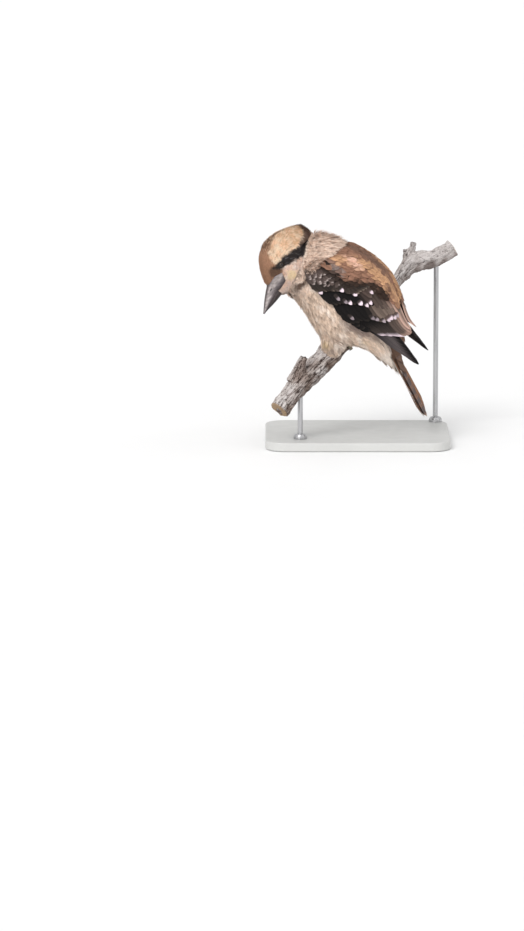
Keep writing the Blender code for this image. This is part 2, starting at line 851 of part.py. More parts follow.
def main():
    clear_scene()
    parts = collection("laughing kookaburra")
    cutters = collection("cutters")
    picture = picture_frame()
    body = picture @ pose(BODY_PITCH, BODY_TOWARD, BODY_ROLL, (0, 0, 0))
    head = picture @ pose(HEAD_PITCH, HEAD_TOWARD, HEAD_ROLL, EYE_LEVEL)

    tops = rod_tops(picture)
    perch = branch("perch", picture, parts)
    join(perch, stubs(picture, parts), parts)
    cut(perch, [rod_hole(top, "rod hole", cutters) for top in tops])
    keep_largest(perch)
    perch_cutter = branch("perch cutter", picture, cutters, GAP)
    body_pose = pose(BODY_PITCH, BODY_TOWARD, BODY_ROLL, (0, 0, 0))
    leg_cutters = []
    for side, place in FEET:
        leg(f"leg_{side}", place, body_pose, picture, parts)
        leg_cutters.append(leg("leg cutter", place, body_pose, picture, cutters, GAP))

    skull = body_loft("head", HEAD, 1, 12, 24, head, "cream plumage", parts)
    skull_cutter = body_loft("head cutter", HEAD, 1, 12, 24, head, "cream plumage", cutters, GAP)
    join(skull, [lid("lid left", 1, head, parts), lid("lid right", -1, head, parts)], parts)
    for name, side in (("eye_left", 1), ("eye_right", -1)):
        place = Vector((0, side * EYE_SIDE, 0))
        ball(name, EYE_RADIUS, place, head, "eye", parts, sides=14)
        cut(skull, [ball("eye cutter", EYE_RADIUS + GAP, place, head, "eye", cutters, sides=14)])
    cut(skull, gape_groove(head, cutters))
    keep_largest(skull)
    cut(bill("bill_upper", head, parts, True), nostrils(head, cutters))
    bill("bill_lower", head, parts, False)

    neck = body_loft("neck", NECK, 1, 7, 24, body, "cream plumage", parts)
    neck_cutter = body_loft("neck cutter", NECK, 1, 7, 24, body, "cream plumage", cutters, GAP)
    cut(neck, [skull_cutter])
    keep_largest(neck)

    torso = body_loft("torso", TORSO, -1, 16, 26, body, "cream plumage", parts)
    torso_cutter = body_loft("torso cutter", TORSO, -1, 16, 26, body, "cream plumage", cutters, GAP)
    rear = tail_frame(body)
    thighs = [thigh(side, body, parts) for side in (1, -1)]
    join(torso, thighs + tail_coverts(rear, parts, random.Random(SEED)), parts)
    cut(torso, [neck_cutter, skull_cutter, perch_cutter, *leg_cutters])
    keep_largest(torso)

    tail = tail_core("tail", rear, parts)
    join(tail, rectrices(rear, parts), parts)
    cut(tail, [torso_cutter])
    keep_largest(tail)

    for name, side in (("wing_left", 1), ("wing_right", -1)):
        wing = wing_core(name, side, body, parts)
        draw = random.Random(SEED + side)
        join(wing, flight_feathers(side, body, parts) + covert_feathers(side, body, parts, draw), parts)
        cut(wing, [torso_cutter, neck_cutter])
        keep_largest(wing)

    base(parts)
    for number, top in enumerate(tops, 1):
        smooth(rod(f"stand_rod_{number}", top, parts))
    for cutter in cutters.objects:
        cutter.hide_render = True
        cutter.display_type = "WIRE"
    for obj in parts.objects:
        if not obj.modifiers:
            smooth(obj)


main()
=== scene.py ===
"""The laughing kookaburra's plumage, bill, eyes, feet, branch and stand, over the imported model.

The bird's own frames have +X to the bill, +Y to its left and +Z to its back or crown, in
millimetres. They are posed on a picture plane that leans back by LEAN, and everything is
then in metres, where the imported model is.
"""

import math

import bpy
import numpy as np
from mathutils import Matrix, Vector, noise
from mathutils.bvhtree import BVHTree


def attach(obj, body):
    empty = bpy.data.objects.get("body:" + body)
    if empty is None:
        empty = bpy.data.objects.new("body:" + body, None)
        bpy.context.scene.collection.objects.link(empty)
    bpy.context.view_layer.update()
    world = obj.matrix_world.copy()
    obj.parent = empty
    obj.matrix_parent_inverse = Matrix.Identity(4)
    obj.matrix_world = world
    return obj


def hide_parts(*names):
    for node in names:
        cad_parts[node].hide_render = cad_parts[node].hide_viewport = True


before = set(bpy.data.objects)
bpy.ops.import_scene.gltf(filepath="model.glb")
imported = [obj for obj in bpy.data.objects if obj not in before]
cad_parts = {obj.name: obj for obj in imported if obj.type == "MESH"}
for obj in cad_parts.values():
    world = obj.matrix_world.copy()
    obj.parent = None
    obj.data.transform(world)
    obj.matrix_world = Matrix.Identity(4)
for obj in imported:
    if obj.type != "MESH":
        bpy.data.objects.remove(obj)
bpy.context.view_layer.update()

MM = 0.001
LEAN = math.radians(10)
CENTRE = (0.0, -34.0, 197.0)
BODY_TURN = (47, 4, 24)  # pitch, toward the viewer, roll
HEAD_TURN = (-57, 12, 22)
EYE_LEVEL = (-113.0, 0.0, 48.5)
TAIL_ROOT = (-37.0, 0.0, -2.0)
TAIL_DROOP = 16.2

# Sections of the body: distance behind its middle, belly, back, half width.
TORSO = (
    (-71, -42, 16, 20),
    (-67, -54, 31, 33),
    (-57, -63, 43, 43.5),
    (-34, -66, 51, 49),
    (-11, -71, 57, 50),
    (5, -72, 56, 49),
    (26, -60, 47, 45),
    (43, -44, 36, 38),
    (62, -35, 24, 29),
    (80, -31, 11, 19),
    (92, -29, 0, 12),
)
NECK = (
    (46, -55, 30, 33),
    (62, -66, 37, 39),
    (77, -64, 36, 35),
    (92, -53, 28, 26),
    (104, -39, 20, 15),
)
HEAD = (
    (29, -32, -7, 9.5),
    (24, -36, 1, 15),
    (15, -41, 13, 20.5),
    (2, -44, 24, 26),
    (-12, -44, 27, 29.5),
    (-28, -42, 24.5, 30.5),
    (-43, -37, 17.5, 28),
    (-56, -28, 8.5, 20),
    (-64, -19, 2, 9),
)
# The bill's horn: ahead of the eyes, keel, mouth, ridge, half width.
UPPER_BILL = (
    (5, -27.0, -18.6, -7.0, 19.5),
    (11, -28.5, -19.2, -5.0, 18.0),
    (17, -30.0, -20.2, -2.6, 15.0),
    (23, -31.0, -21.2, -3.6, 11.4),
    (29.3, -31.5, -22.0, -8.0, 9.0),
    (38, -31.0, -23.0, -12.0, 7.8),
    (48, -29.4, -24.2, -17.0, 6.0),
    (57, -27.6, -25.4, -22.2, 3.5),
    (63, -27.2, -26.4, -25.4, 1.2),
)
LOWER_BILL = (
    (22.0, -32.4, -21.0, -6.6, 10.6),
    (29.3, -31.9, -22.0, -8.0, 8.9),
    (38, -31.0, -23.0, -12.0, 7.8),
    (48, -29.4, -24.2, -17.0, 6.0),
    (57, -27.6, -25.4, -22.2, 3.5),
    (63, -27.2, -26.4, -25.4, 1.2),
)
THIGH = (
    (6, 12, -28, 15),
    (-8, 16, -43, 20),
    (-17, 18, -56, 20.5),
    (-24, 18, -67, 15.5),
    (-31, 17, -77, 8),
)
# The folded wing's sheet: distance behind the middle, half width, half depth, middle height.
WING = (
    (-76, 38, 45, -13),
    (-60, 46, 55, -11),
    (-34, 51, 60, -8),
    (-11, 52, 63, -8),
    (5, 51, 62, -8),
    (26, 48, 51, -5),
    (43, 43.5, 37, 1),
    (64, 37, 26, 3),
    (80, 34, 22.5, 5),
    (96, 32.5, 20.5, 6.5),
    (116, 31.5, 19.5, 7),
)
FLIGHT_LINES = (
    (-20, 28, 84),
    (5, 24, 84),
    (30, 18, 83.5),
    (55, 14, 81.5),
    (75, 13, 80.5),
    (96, 22, 76),
    (116, 34, 72.5),
)
WING_CORE = (
    (-76, 66, 84),
    (-66, 50, 90),
    (-50, 34, 91),
    (-25, 24, 91),
    (0, 20, 91),
    (20, 19, 89),
)
TAIL_CORE = (
    (40, 9, 5),
    (55, 12, 5),
    (68, 13.5, 4.4),
    (78, 13.5, 3.4),
)
EYE_RADIUS = 5.6
EYE_SIDE = 20.6

# The branch on the picture plane: across, away from the viewer, up, radius.
PERCH = (
    (-107, -24, -148, 14.5),
    (-94, -16, -132, 14.5),
    (-77, -4, -112, 15.2),
    (-53, 14, -88, 16.4),
    (-38, 28, -72, 17.0),
    (-15, 52, -47, 16.4),
    (7, 76, -22, 15.0),
    (30, 92, 4, 12.5),
    (52, 100, 28, 10.4),
    (70, 103, 49, 12.0),
    (86, 105, 58, 14.5),
    (104, 107, 61, 13.2),
    (120, 109, 68, 12.8),
    (132, 111, 76, 12.2),
)
STUBS = (
    ((-84, -8, -110), (-73, -16, -76), 14.5, 5.5),
    ((72, 103, 56), (78, 101, 84), 10.0, 4.0),
    ((70, 103, 54), (66, 104, 74), 8.0, 3.6),
)
FEET = (("left", 0.345), ("right", 0.425))
TOE_RADIUS = 2.7
SHANK_LENGTH = 16.0
BARK_REACH = 1.09
TOES = ((-0.026, 96), (0.0, 110), (0.024, 94), (0.004, -62))
GAP = 0.3

# How far the skin lies inside the solids, for the coat's depth.
BODY_INSET, HEAD_INSET, WING_INSET = 2.6, 1.7, 2.6

# Colours, as linear light.
BROW = (0.90, 0.61, 0.40)
PALE_BROW = (0.95, 0.76, 0.57)
CHEEK = (0.95, 0.71, 0.58)
MALAR = (1.0, 0.82, 0.56)
THROAT = (0.97, 0.80, 0.71)
NAPE = (0.98, 0.79, 0.66)
NAPE_MOTTLE = (0.56, 0.40, 0.32)
FOREHEAD = (0.48, 0.265, 0.165)
CROWN = (0.13, 0.068, 0.046)
STRIPE = (0.036, 0.029, 0.028)
NAPE_DARK = (0.105, 0.052, 0.036)
LORES = (0.115, 0.066, 0.046)
RUFOUS = (0.285, 0.148, 0.098)
GOLD = (0.70, 0.40, 0.22)
BACK_TOP = (0.20, 0.112, 0.078)
BAND = (0.026, 0.016, 0.012)
SLATE = (0.19, 0.165, 0.16)
PINK_GOLD = (0.84, 0.52, 0.41)
FLIGHT = (0.0075, 0.006, 0.006)
TERTIAL = (0.100, 0.068, 0.058)
TERTIAL_TIP = (0.80, 0.52, 0.42)
SPOT = (1.0, 0.82, 0.90)
BEIGE = (0.52, 0.40, 0.32)
BELLY = (0.80, 0.625, 0.495)
PALE = (0.98, 0.85, 0.74)
MOTTLE = (0.44, 0.33, 0.26)
FLANK = (0.30, 0.225, 0.195)
YELLOWISH = (0.60, 0.44, 0.20)
UNDERTAIL = (0.95, 0.86, 0.78)
TAIL_BROWN = (0.155, 0.118, 0.110)
TAIL_RUFOUS = (0.46, 0.225, 0.12)
RUMP = (0.22, 0.13, 0.09)


# Plain geometry.

def curve(rows, places):
    """Points from 0 to 1 along a smooth curve through these rows."""
    rows = np.asarray(rows, float)
    reach = np.clip(np.asarray(places, float), 0, 1) * (len(rows) - 1)
    start = np.minimum(reach.astype(int), len(rows) - 2)
    t = (reach - start)[..., None]
    a = rows[np.maximum(start - 1, 0)]
    b = rows[start]
    c = rows[start + 1]
    d = rows[np.minimum(start + 2, len(rows) - 1)]
    return 0.5 * (2 * b + (c - a) * t + (2 * a - 5 * b + 4 * c - d) * t * t + (3 * b - a - 3 * c + d) * t**3)


def by_station(rows, stations):
    """The rest of the rows at these values of their first number."""
    fine = curve(rows, np.linspace(0, 1, 400))
    return [np.interp(stations, fine[:, 0], fine[:, column]) for column in range(1, fine.shape[1])]


def unit(vectors):
    return vectors / np.maximum(np.linalg.norm(vectors, axis=-1, keepdims=True), 1e-12)


def turned(axis, degrees):
    return np.array(Matrix.Rotation(math.radians(degrees), 4, axis))


def moved(offset):
    return np.array(Matrix.Translation(offset))


def pose(turn, origin):
    """A frame of the bird on the picture plane."""
    pitch, toward, roll = np.radians(turn)
    level = math.cos(toward)
    forward = np.array([-math.cos(pitch) * level, -math.sin(toward), math.sin(pitch) * level])
    left = unit(np.array([0, -1, 0]) + forward * forward[1])
    up = np.cross(forward, left)
    made = np.eye(4)
    made[:3, 0] = forward
    made[:3, 1] = left * math.cos(roll) - up * math.sin(roll)
    made[:3, 2] = up * math.cos(roll) + left * math.sin(roll)
    made[:3, 3] = origin
    return made


PICTURE = np.diag([MM, MM, MM, 1.0]) @ moved(CENTRE) @ turned("X", -math.degrees(LEAN))
BODY_POSE = pose(BODY_TURN, (0, 0, 0))
BODY = PICTURE @ BODY_POSE
HEAD_FRAME = PICTURE @ pose(HEAD_TURN, EYE_LEVEL)
TAIL = BODY @ moved(TAIL_ROOT) @ turned("Y", -TAIL_DROOP)


def out_of(place, points):
    """World places, in metres, of a frame's points."""
    return np.asarray(points) @ place[:3, :3].T + place[:3, 3]


def into(place, points):
    """A frame's own millimetres for world places."""
    return (np.asarray(points) - place[:3, 3]) @ np.linalg.inv(place[:3, :3]).T


def smoothstep(low, high, values):
    share = np.clip((values - low) / (high - low), 0, 1)
    return share * share * (3 - 2 * share)


def mixed(first, second, share):
    share = np.asarray(share)[..., None]
    return np.asarray(first) * (1 - share) + np.asarray(second) * share


def grain(points, size, seed):
    """A smooth random field from about -1 to 1, with patches of this size in metres."""
    draw = np.random.default_rng(seed)
    total = 0
    for _ in range(9):
        wave = unit(draw.normal(size=3)) * math.tau / size * draw.uniform(0.5, 1.7)
        total = total + np.sin(points @ wave + draw.uniform(0, math.tau))
    return total / 4


# Meshes and materials.

def make_mesh(name, points, faces, material, colours=None, bake=None, vane=None):
    """A mesh of equal-sized faces, with point colours and face-corner maps."""
    data = bpy.data.meshes.new(name)
    points = np.asarray(points, np.float32).reshape(-1, 3)
    faces = np.asarray(faces, np.int32)
    corners = faces.shape[1]
    data.vertices.add(len(points))
    data.vertices.foreach_set("co", points.ravel())
    data.loops.add(faces.size)
    data.loops.foreach_set("vertex_index", faces.ravel())
    data.polygons.add(len(faces))
    data.polygons.foreach_set("loop_start", np.arange(0, faces.size, corners, dtype=np.int32))
    data.update(calc_edges=True)
    if colours is not None:
        attribute = data.color_attributes.new(name="Coat", type="FLOAT_COLOR", domain="POINT")
        rgba = np.ones((len(points), 4), np.float32)
        tint = np.maximum(0, np.asarray(colours).reshape(-1, 3))
        rgba[:, :3] = tint / np.maximum(1, tint.max(axis=1))[:, None]
        attribute.data.foreach_set("color", rgba.ravel())
    for title, values in (("OFBake", bake), ("Vane", vane)):
        if values is not None:
            layer = data.uv_layers.new(name=title)
            flat = np.asarray(values, np.float32).reshape(-1, 2)[faces.ravel()]
            layer.data.foreach_set("uv", flat.ravel())
    data.materials.append(material)
    data.shade_smooth()
    made = bpy.data.objects.new(name, data)
    bpy.context.scene.collection.objects.link(made)
    return made


class Shader:
    """A new material's nodes."""

    def __init__(self, name, roughness=0.7, metallic=0.0):
        self.material = bpy.data.materials.new(name)
        self.material.use_nodes = True
        self.tree = self.material.node_tree
        self.surface = self.tree.nodes["Principled BSDF"]
        self.surface.inputs["Roughness"].default_value = roughness
        self.surface.inputs["Metallic"].default_value = metallic

    def node(self, kind, **settings):
        made = self.tree.nodes.new(kind)
        for key, value in settings.items():
            setattr(made, key, value)
        return made

    def link(self, source, target):
        self.tree.links.new(source, target)

    def noise(self, scale, detail=4.0, stretch=None, source=None):
        """A noise texture over the object, or over another set of coordinates."""
        if source is None:
            source = self.node("ShaderNodeTexCoord").outputs["Object"]
        if stretch:
            mapping = self.node("ShaderNodeMapping")
            mapping.inputs["Scale"].default_value = stretch
            self.link(source, mapping.inputs["Vector"])
            source = mapping.outputs["Vector"]
        made = self.node("ShaderNodeTexNoise")
        made.inputs["Scale"].default_value = scale
        made.inputs["Detail"].default_value = detail
        self.link(source, made.inputs["Vector"])
        return made.outputs["Fac"]

    def ramp(self, factor, stops):
        made = self.node("ShaderNodeValToRGB")
        made.color_ramp.elements[0].position = stops[0][0]
        made.color_ramp.elements[0].color = (*stops[0][1], 1)
        made.color_ramp.elements[1].position = stops[-1][0]
        made.color_ramp.elements[1].color = (*stops[-1][1], 1)
        for position, colour in stops[1:-1]:
            made.color_ramp.elements.new(position).color = (*colour, 1)
        self.link(factor, made.inputs["Fac"])
        return made.outputs["Color"]

    def mix(self, first, second, factor=1.0, blend="MULTIPLY"):
        made = self.node("ShaderNodeMix", data_type="RGBA", blend_type=blend)
        made.inputs["Factor"].default_value = factor
        self.link(first, made.inputs["A"])
        self.link(second, made.inputs["B"])
        return made.outputs["Result"]

    def colour(self, source):
        self.link(source, self.surface.inputs["Base Color"])

    def bump(self, height, strength, distance):
        made = self.node("ShaderNodeBump")
        made.inputs["Strength"].default_value = strength
        made.inputs["Distance"].default_value = distance
        self.link(height, made.inputs["Height"])
        self.link(made.outputs["Normal"], self.surface.inputs["Normal"])


def plumage(name, barbs):
    """Feathers take their colours from the coat's markings; barbs add fine slanting lines."""
    made = Shader(name, roughness=0.8)
    made.surface.inputs["Specular IOR Level"].default_value = 0.16
    markings_node = made.node("ShaderNodeVertexColor", layer_name="Coat")
    fine = made.ramp(made.noise(900, 2.0), [(0.3, (0.82, 0.82, 0.82)), (0.7, (1.0, 1.0, 1.0))])
    shade = made.mix(markings_node.outputs["Color"], fine)
    if barbs:
        spot = made.node("ShaderNodeUVMap", uv_map="Vane")
        split = made.node("ShaderNodeSeparateXYZ")
        made.link(spot.outputs["UV"], split.inputs["Vector"])
        slant = made.node("ShaderNodeMath", operation="MULTIPLY_ADD")
        slant.inputs[1].default_value = -0.35
        made.link(split.outputs["X"], slant.inputs[0])
        made.link(split.outputs["Y"], slant.inputs[2])
        wave = made.node("ShaderNodeMath", operation="MULTIPLY")
        wave.inputs[1].default_value = 260.0
        made.link(slant.outputs["Value"], wave.inputs[0])
        lines = made.node("ShaderNodeMath", operation="SINE")
        made.link(wave.outputs["Value"], lines.inputs[0])
        shaded = made.ramp(lines.outputs["Value"], [(0.0, (0.86, 0.86, 0.86)), (1.0, (1.0, 1.0, 1.0))])
        shade = made.mix(shade, shaded)
        made.bump(lines.outputs["Value"], 0.25, 0.0002)
    made.colour(shade)
    return made.material


# The wing's sheet.

def wing_points(side, along, around, height):
    """Points in the body's frame: along it, degrees round from the back, and out from the sheet."""
    half, depth, middle = by_station(WING, along)
    angle = np.radians(around)
    across = np.sin(angle)
    upward = np.cos(angle)
    out = unit(np.stack([np.zeros_like(across), across / half, upward / depth], -1))
    points = np.stack([-np.asarray(along), across * half, middle + upward * depth], -1)
    points = points + out * np.asarray(height)[..., None]
    return points * np.array([1, side, 1])


def degree_length(along, around):
    half, depth, _ = by_station(WING, along)
    angle = np.radians(around)
    return np.radians(np.hypot(half * np.cos(angle), depth * np.sin(angle)))


def round_the_body(points):
    """How far behind the middle world places are, and how many degrees round from the back."""
    own = into(BODY, points)
    half, depth, middle = by_station(WING, -own[:, 0])
    return -own[:, 0], np.degrees(np.arctan2(np.abs(own[:, 1]) / half, (own[:, 2] - middle) / depth)), own


# The skin: one surface for head, neck, body, thighs and the roots of wings and tail.

def oval_grid(rows, ahead, steps, sides, inset, fullness=0.92):
    along, low, high, half = curve(rows, np.linspace(0, 1, steps + 1)).T
    angle = math.tau * np.arange(sides) / sides
    across = np.sign(np.sin(angle)) * np.abs(np.sin(angle)) ** fullness
    upward = np.sign(np.cos(angle)) * np.abs(np.cos(angle)) ** fullness
    y = across * (half - inset)[:, None]
    z = ((low + high) / 2)[:, None] + upward * ((high - low) / 2 - inset)[:, None]
    return np.stack([np.broadcast_to((ahead * along)[:, None], y.shape), y, z], -1)


def closed_loft(grid):
    """Points and triangles of a loft through rings, its ends closed by fans."""
    rings, sides = grid.shape[:2]
    points = [tuple(point) for point in grid.reshape(-1, 3)]
    faces = []
    for ring in range(rings - 1):
        for side in range(sides):
            here = ring * sides + side
            beside = ring * sides + (side + 1) % sides
            faces += [(here, beside, beside + sides), (here, beside + sides, here + sides)]
    for first in (0, (rings - 1) * sides):
        middle = len(points)
        points.append(tuple(np.mean(points[first:first + sides], axis=0)))
        faces += [(first + side, first + (side + 1) % sides, middle) for side in range(sides)]
    return np.array(points), np.array(faces)


def wing_core_grid(side):
    steps, spans = 30, 16
    share = np.linspace(0, 1, steps + 1)
    along = WING_CORE[0][0] + (WING_CORE[-1][0] - WING_CORE[0][0]) * share
    upper, lower = by_station(WING_CORE, along)
    rim = np.sqrt(1 - (1 - np.minimum(1.0, 0.15 + 4.2 * share)) ** 2)
    across = np.linspace(0, 1, spans + 1)
    around = upper[:, None] + (lower - upper)[:, None] * across
    swell = (0.3 + 0.7 * np.sin(math.pi * across) ** 0.5)[None, :] * rim[:, None]
    spread = np.broadcast_to(along[:, None], around.shape)
    outer = wing_points(side, spread, around, (5.2 * swell - WING_INSET))
    inner = wing_points(side, spread, around, np.full_like(around, -7.0))
    return np.concatenate([outer, inner[:, ::-1]], axis=1)


def thigh_grid(side):
    rows = curve(THIGH, np.linspace(0, 1, 13))
    lean = turned("Y", 127)
    angle = math.tau * np.arange(24) / 24
    rings = []
    for ahead, outwards, up, radius in rows:
        radius = radius - BODY_INSET
        flat = np.stack([0 * angle, 0.85 * radius * np.sin(angle), radius * np.cos(angle)], -1)
        rings.append(out_of(moved((ahead, side * outwards, up)) @ lean, flat))
    return np.array(rings)


def tail_core_grid():
    rings = []
    angle = math.tau * np.arange(24) / 24
    for along, half, depth in curve(TAIL_CORE, np.linspace(0, 1, 12)):
        across = np.sin(angle) * (half - 1)
        rings.append(np.stack([np.full_like(angle, -along), across, np.cos(angle) * (depth - 1.5)], -1))
    return np.array(rings)


def one_surface(name, grids, voxel, rounds, shader):
    """Closed lofts made into one even surface."""
    points = []
    faces = []
    count = 0
    for grid in grids:
        some_points, some_faces = closed_loft(grid)
        points.append(some_points)
        faces.append(some_faces + count)
        count += len(some_points)
    made = make_mesh(name, np.concatenate(points), np.concatenate(faces), shader)
    remesh = made.modifiers.new("one surface", "REMESH")
    remesh.mode = "VOXEL"
    remesh.voxel_size = voxel * MM
    relax = made.modifiers.new("relax", "SMOOTH")
    relax.factor = 0.5
    relax.iterations = rounds
    graph = bpy.context.evaluated_depsgraph_get()
    whole = bpy.data.meshes.new_from_object(made.evaluated_get(graph))
    made.modifiers.clear()
    made.data = whole
    whole.materials.clear()
    whole.materials.append(shader)
    whole.shade_smooth()
    while whole.uv_layers:
        whole.uv_layers.remove(whole.uv_layers[0])
    return made


def make_skin():
    lofts = [
        out_of(BODY, oval_grid(TORSO, -1, 60, 64, BODY_INSET)),
        out_of(BODY, oval_grid(NECK, 1, 30, 64, BODY_INSET)),
        out_of(HEAD_FRAME, oval_grid(HEAD, 1, 60, 64, HEAD_INSET)),
        out_of(TAIL, tail_core_grid()),
    ]
    for side in (1, -1):
        lofts.append(out_of(BODY, wing_core_grid(side)))
        lofts.append(out_of(BODY, thigh_grid(side)))
    skin = one_surface("skin", lofts, 1.4, 14, plumage("plumage skin", False))
    bpy.context.view_layer.objects.active = skin
    skin.select_set(True)
    skin.data.uv_layers.new(name="OFBake")
    bpy.ops.object.mode_set(mode="EDIT")
    bpy.ops.mesh.select_all(action="SELECT")
    bpy.ops.uv.smart_project(angle_limit=math.radians(66), island_margin=0.004)
    bpy.ops.object.mode_set(mode="OBJECT")
    return skin


SKIN = make_skin()


def read_skin():
    data = SKIN.data
    points = np.empty(len(data.vertices) * 3, np.float32)
    data.vertices.foreach_get("co", points)
    data.calc_loop_triangles()
    corners = np.empty(len(data.loop_triangles) * 3, np.int32)
    data.loop_triangles.foreach_get("vertices", corners)
    loops = np.empty(len(data.loop_triangles) * 3, np.int32)
    data.loop_triangles.foreach_get("loops", loops)
    bake = np.empty(len(data.loops) * 2, np.float32)
    data.uv_layers["OFBake"].data.foreach_get("uv", bake)
    normals = np.empty(len(data.vertices) * 3, np.float32)
    data.vertices.foreach_get("normal", normals)
    return (
        points.reshape(-1, 3).astype(float),
        corners.reshape(-1, 3),
        bake.reshape(-1, 2)[loops.reshape(-1, 3)],
        normals.reshape(-1, 3).astype(float),
    )


SKIN_POINTS, SKIN_FACES, SKIN_BAKE, SKIN_NORMALS = read_skin()
TREE = BVHTree.FromPolygons([tuple(p) for p in SKIN_POINTS], [tuple(f) for f in SKIN_FACES])


def nearest(points):
    """The nearest places on the skin, with their smooth normals and places on its map."""
    places = np.empty((len(points), 3))
    triangles = np.empty(len(points), int)
    for index, point in enumerate(points):
        place, _, triangle, _ = TREE.find_nearest(Vector(point))
        places[index] = place
        triangles[index] = triangle
    a, b, c = (SKIN_POINTS[SKIN_FACES[triangles][:, corner]] for corner in range(3))
    whole = np.linalg.norm(np.cross(b - a, c - a), axis=1)
    first = np.linalg.norm(np.cross(b - places, c - places), axis=1) / whole
    second = np.linalg.norm(np.cross(c - places, a - places), axis=1) / whole
    shares = np.stack([first, second, 1 - first - second], -1)
    normals = unit((SKIN_NORMALS[SKIN_FACES[triangles]] * shares[..., None]).sum(1))
    return places, normals, (SKIN_BAKE[triangles] * shares[..., None]).sum(1)


def spread_roots(spacing, seed, wanted):
    """Places scattered evenly over the part of the skin that a test picks."""
    draw = np.random.default_rng(seed)
    a, b, c = (SKIN_POINTS[SKIN_FACES[:, corner]] for corner in range(3))
    area = np.linalg.norm(np.cross(b - a, c - a), axis=1) / 2
    count = int(3.2 * area.sum() / spacing**2)
    picks = draw.choice(len(area), count, p=area / area.sum())
    first = draw.random(count)
    second = draw.random(count)
    flip = first + second > 1
    first[flip], second[flip] = 1 - first[flip], 1 - second[flip]
    shares = np.stack([1 - first - second, first, second], -1)
    places = (SKIN_POINTS[SKIN_FACES[picks]] * shares[..., None]).sum(1)
    kept = wanted(places)
    places, picks, shares = places[kept], picks[kept], shares[kept]
    cells = np.floor(places / (0.9 * spacing)).astype(int)
    _, chosen = np.unique(cells, axis=0, return_index=True)
    chosen = np.sort(chosen)
    places, picks, shares = places[chosen], picks[chosen], shares[chosen]
    normals = unit((SKIN_NORMALS[SKIN_FACES[picks]] * shares[..., None]).sum(1))
    bake = (SKIN_BAKE[picks] * shares[..., None]).sum(1)
    return places, normals, bake


# The lie of the coat: along a line from the bill over the nape to the tail.

SPINE = np.concatenate([
    out_of(HEAD_FRAME, [(30, 0, -14), (-5, 0, -8), (-42, 0, -6)]),
    out_of(BODY, [(82, 0, -14), (52, 0, -8), (0, 0, -8), (-60, 0, 0), (-95, 0, -12)]),
    out_of(TAIL, [(-140, 0, 0)]),
])


def lie(places, normals):
    """The way that the coat runs at places on the skin."""
    middles = (SPINE[1:] + SPINE[:-1]) / 2
    ways = unit(SPINE[1:] - SPINE[:-1])
    away = np.linalg.norm(places[:, None] - middles[None], axis=2) / MM
    weight = 1 / (away**4 + 1)
    way = unit((weight[..., None] * ways[None]).sum(1))
    own = into(HEAD_FRAME, places)
    face = smoothstep(-8, 14, own[:, 0]) * head_share(places)
    from_bill = unit((own - np.array([36, 0, -19])) @ HEAD_FRAME[:3, :3].T)
    way = way + from_bill * (1.4 * face)[:, None]
    body = into(BODY, places)
    low = smoothstep(-48, -62, body[:, 2]) * smoothstep(0, -12, body[:, 0]) * smoothstep(-52, -40, body[:, 0])
    down = -BODY[:3, 2] / MM
    way = way + down * (0.8 * low)[:, None]
    return unit(way - normals * (way * normals).sum(1)[:, None])


def head_share(places):
    own = into(HEAD_FRAME, places)
    reach = ((own[:, 0] + 17) / 51) ** 2 + (own[:, 1] / 34) ** 2 + ((own[:, 2] + 8) / 38) ** 2
    return smoothstep(1.25, 1.02, reach)


# The bird's markings, with painted shade in the creases and below the wing, the same on both sides.

# Ahead of the eyes, up, half width.
STRIPE_LINE = np.array([
    (10, 1.6, 2.0), (4, 1.0, 3.8), (-3, -0.5, 5.4),
    (-13, -2.2, 5.8), (-26, -5.5, 7.6), (-38, -10, 8.2),
])
NAPE_LINK = np.array([(-36, -4, 5.8), (-44, -4.5, 5.8), (-52, -5, 6.4), (-60, -2, 7.8)])


def off_line(line, first_way, second_way):
    """How far points are outside a line that has its own half width, in millimetres."""
    best = np.full(len(first_way), 1e9)
    point = np.stack([first_way, second_way], -1)
    for first, second in zip(line[:-1], line[1:]):
        step = second[:2] - first[:2]
        share = np.clip((point - first[:2]) @ step / (step @ step), 0, 1)
        width = first[2] + (second[2] - first[2]) * share
        away = np.linalg.norm(point - first[:2] - share[:, None] * step, axis=1) - width
        best = np.minimum(best, away)
    return best


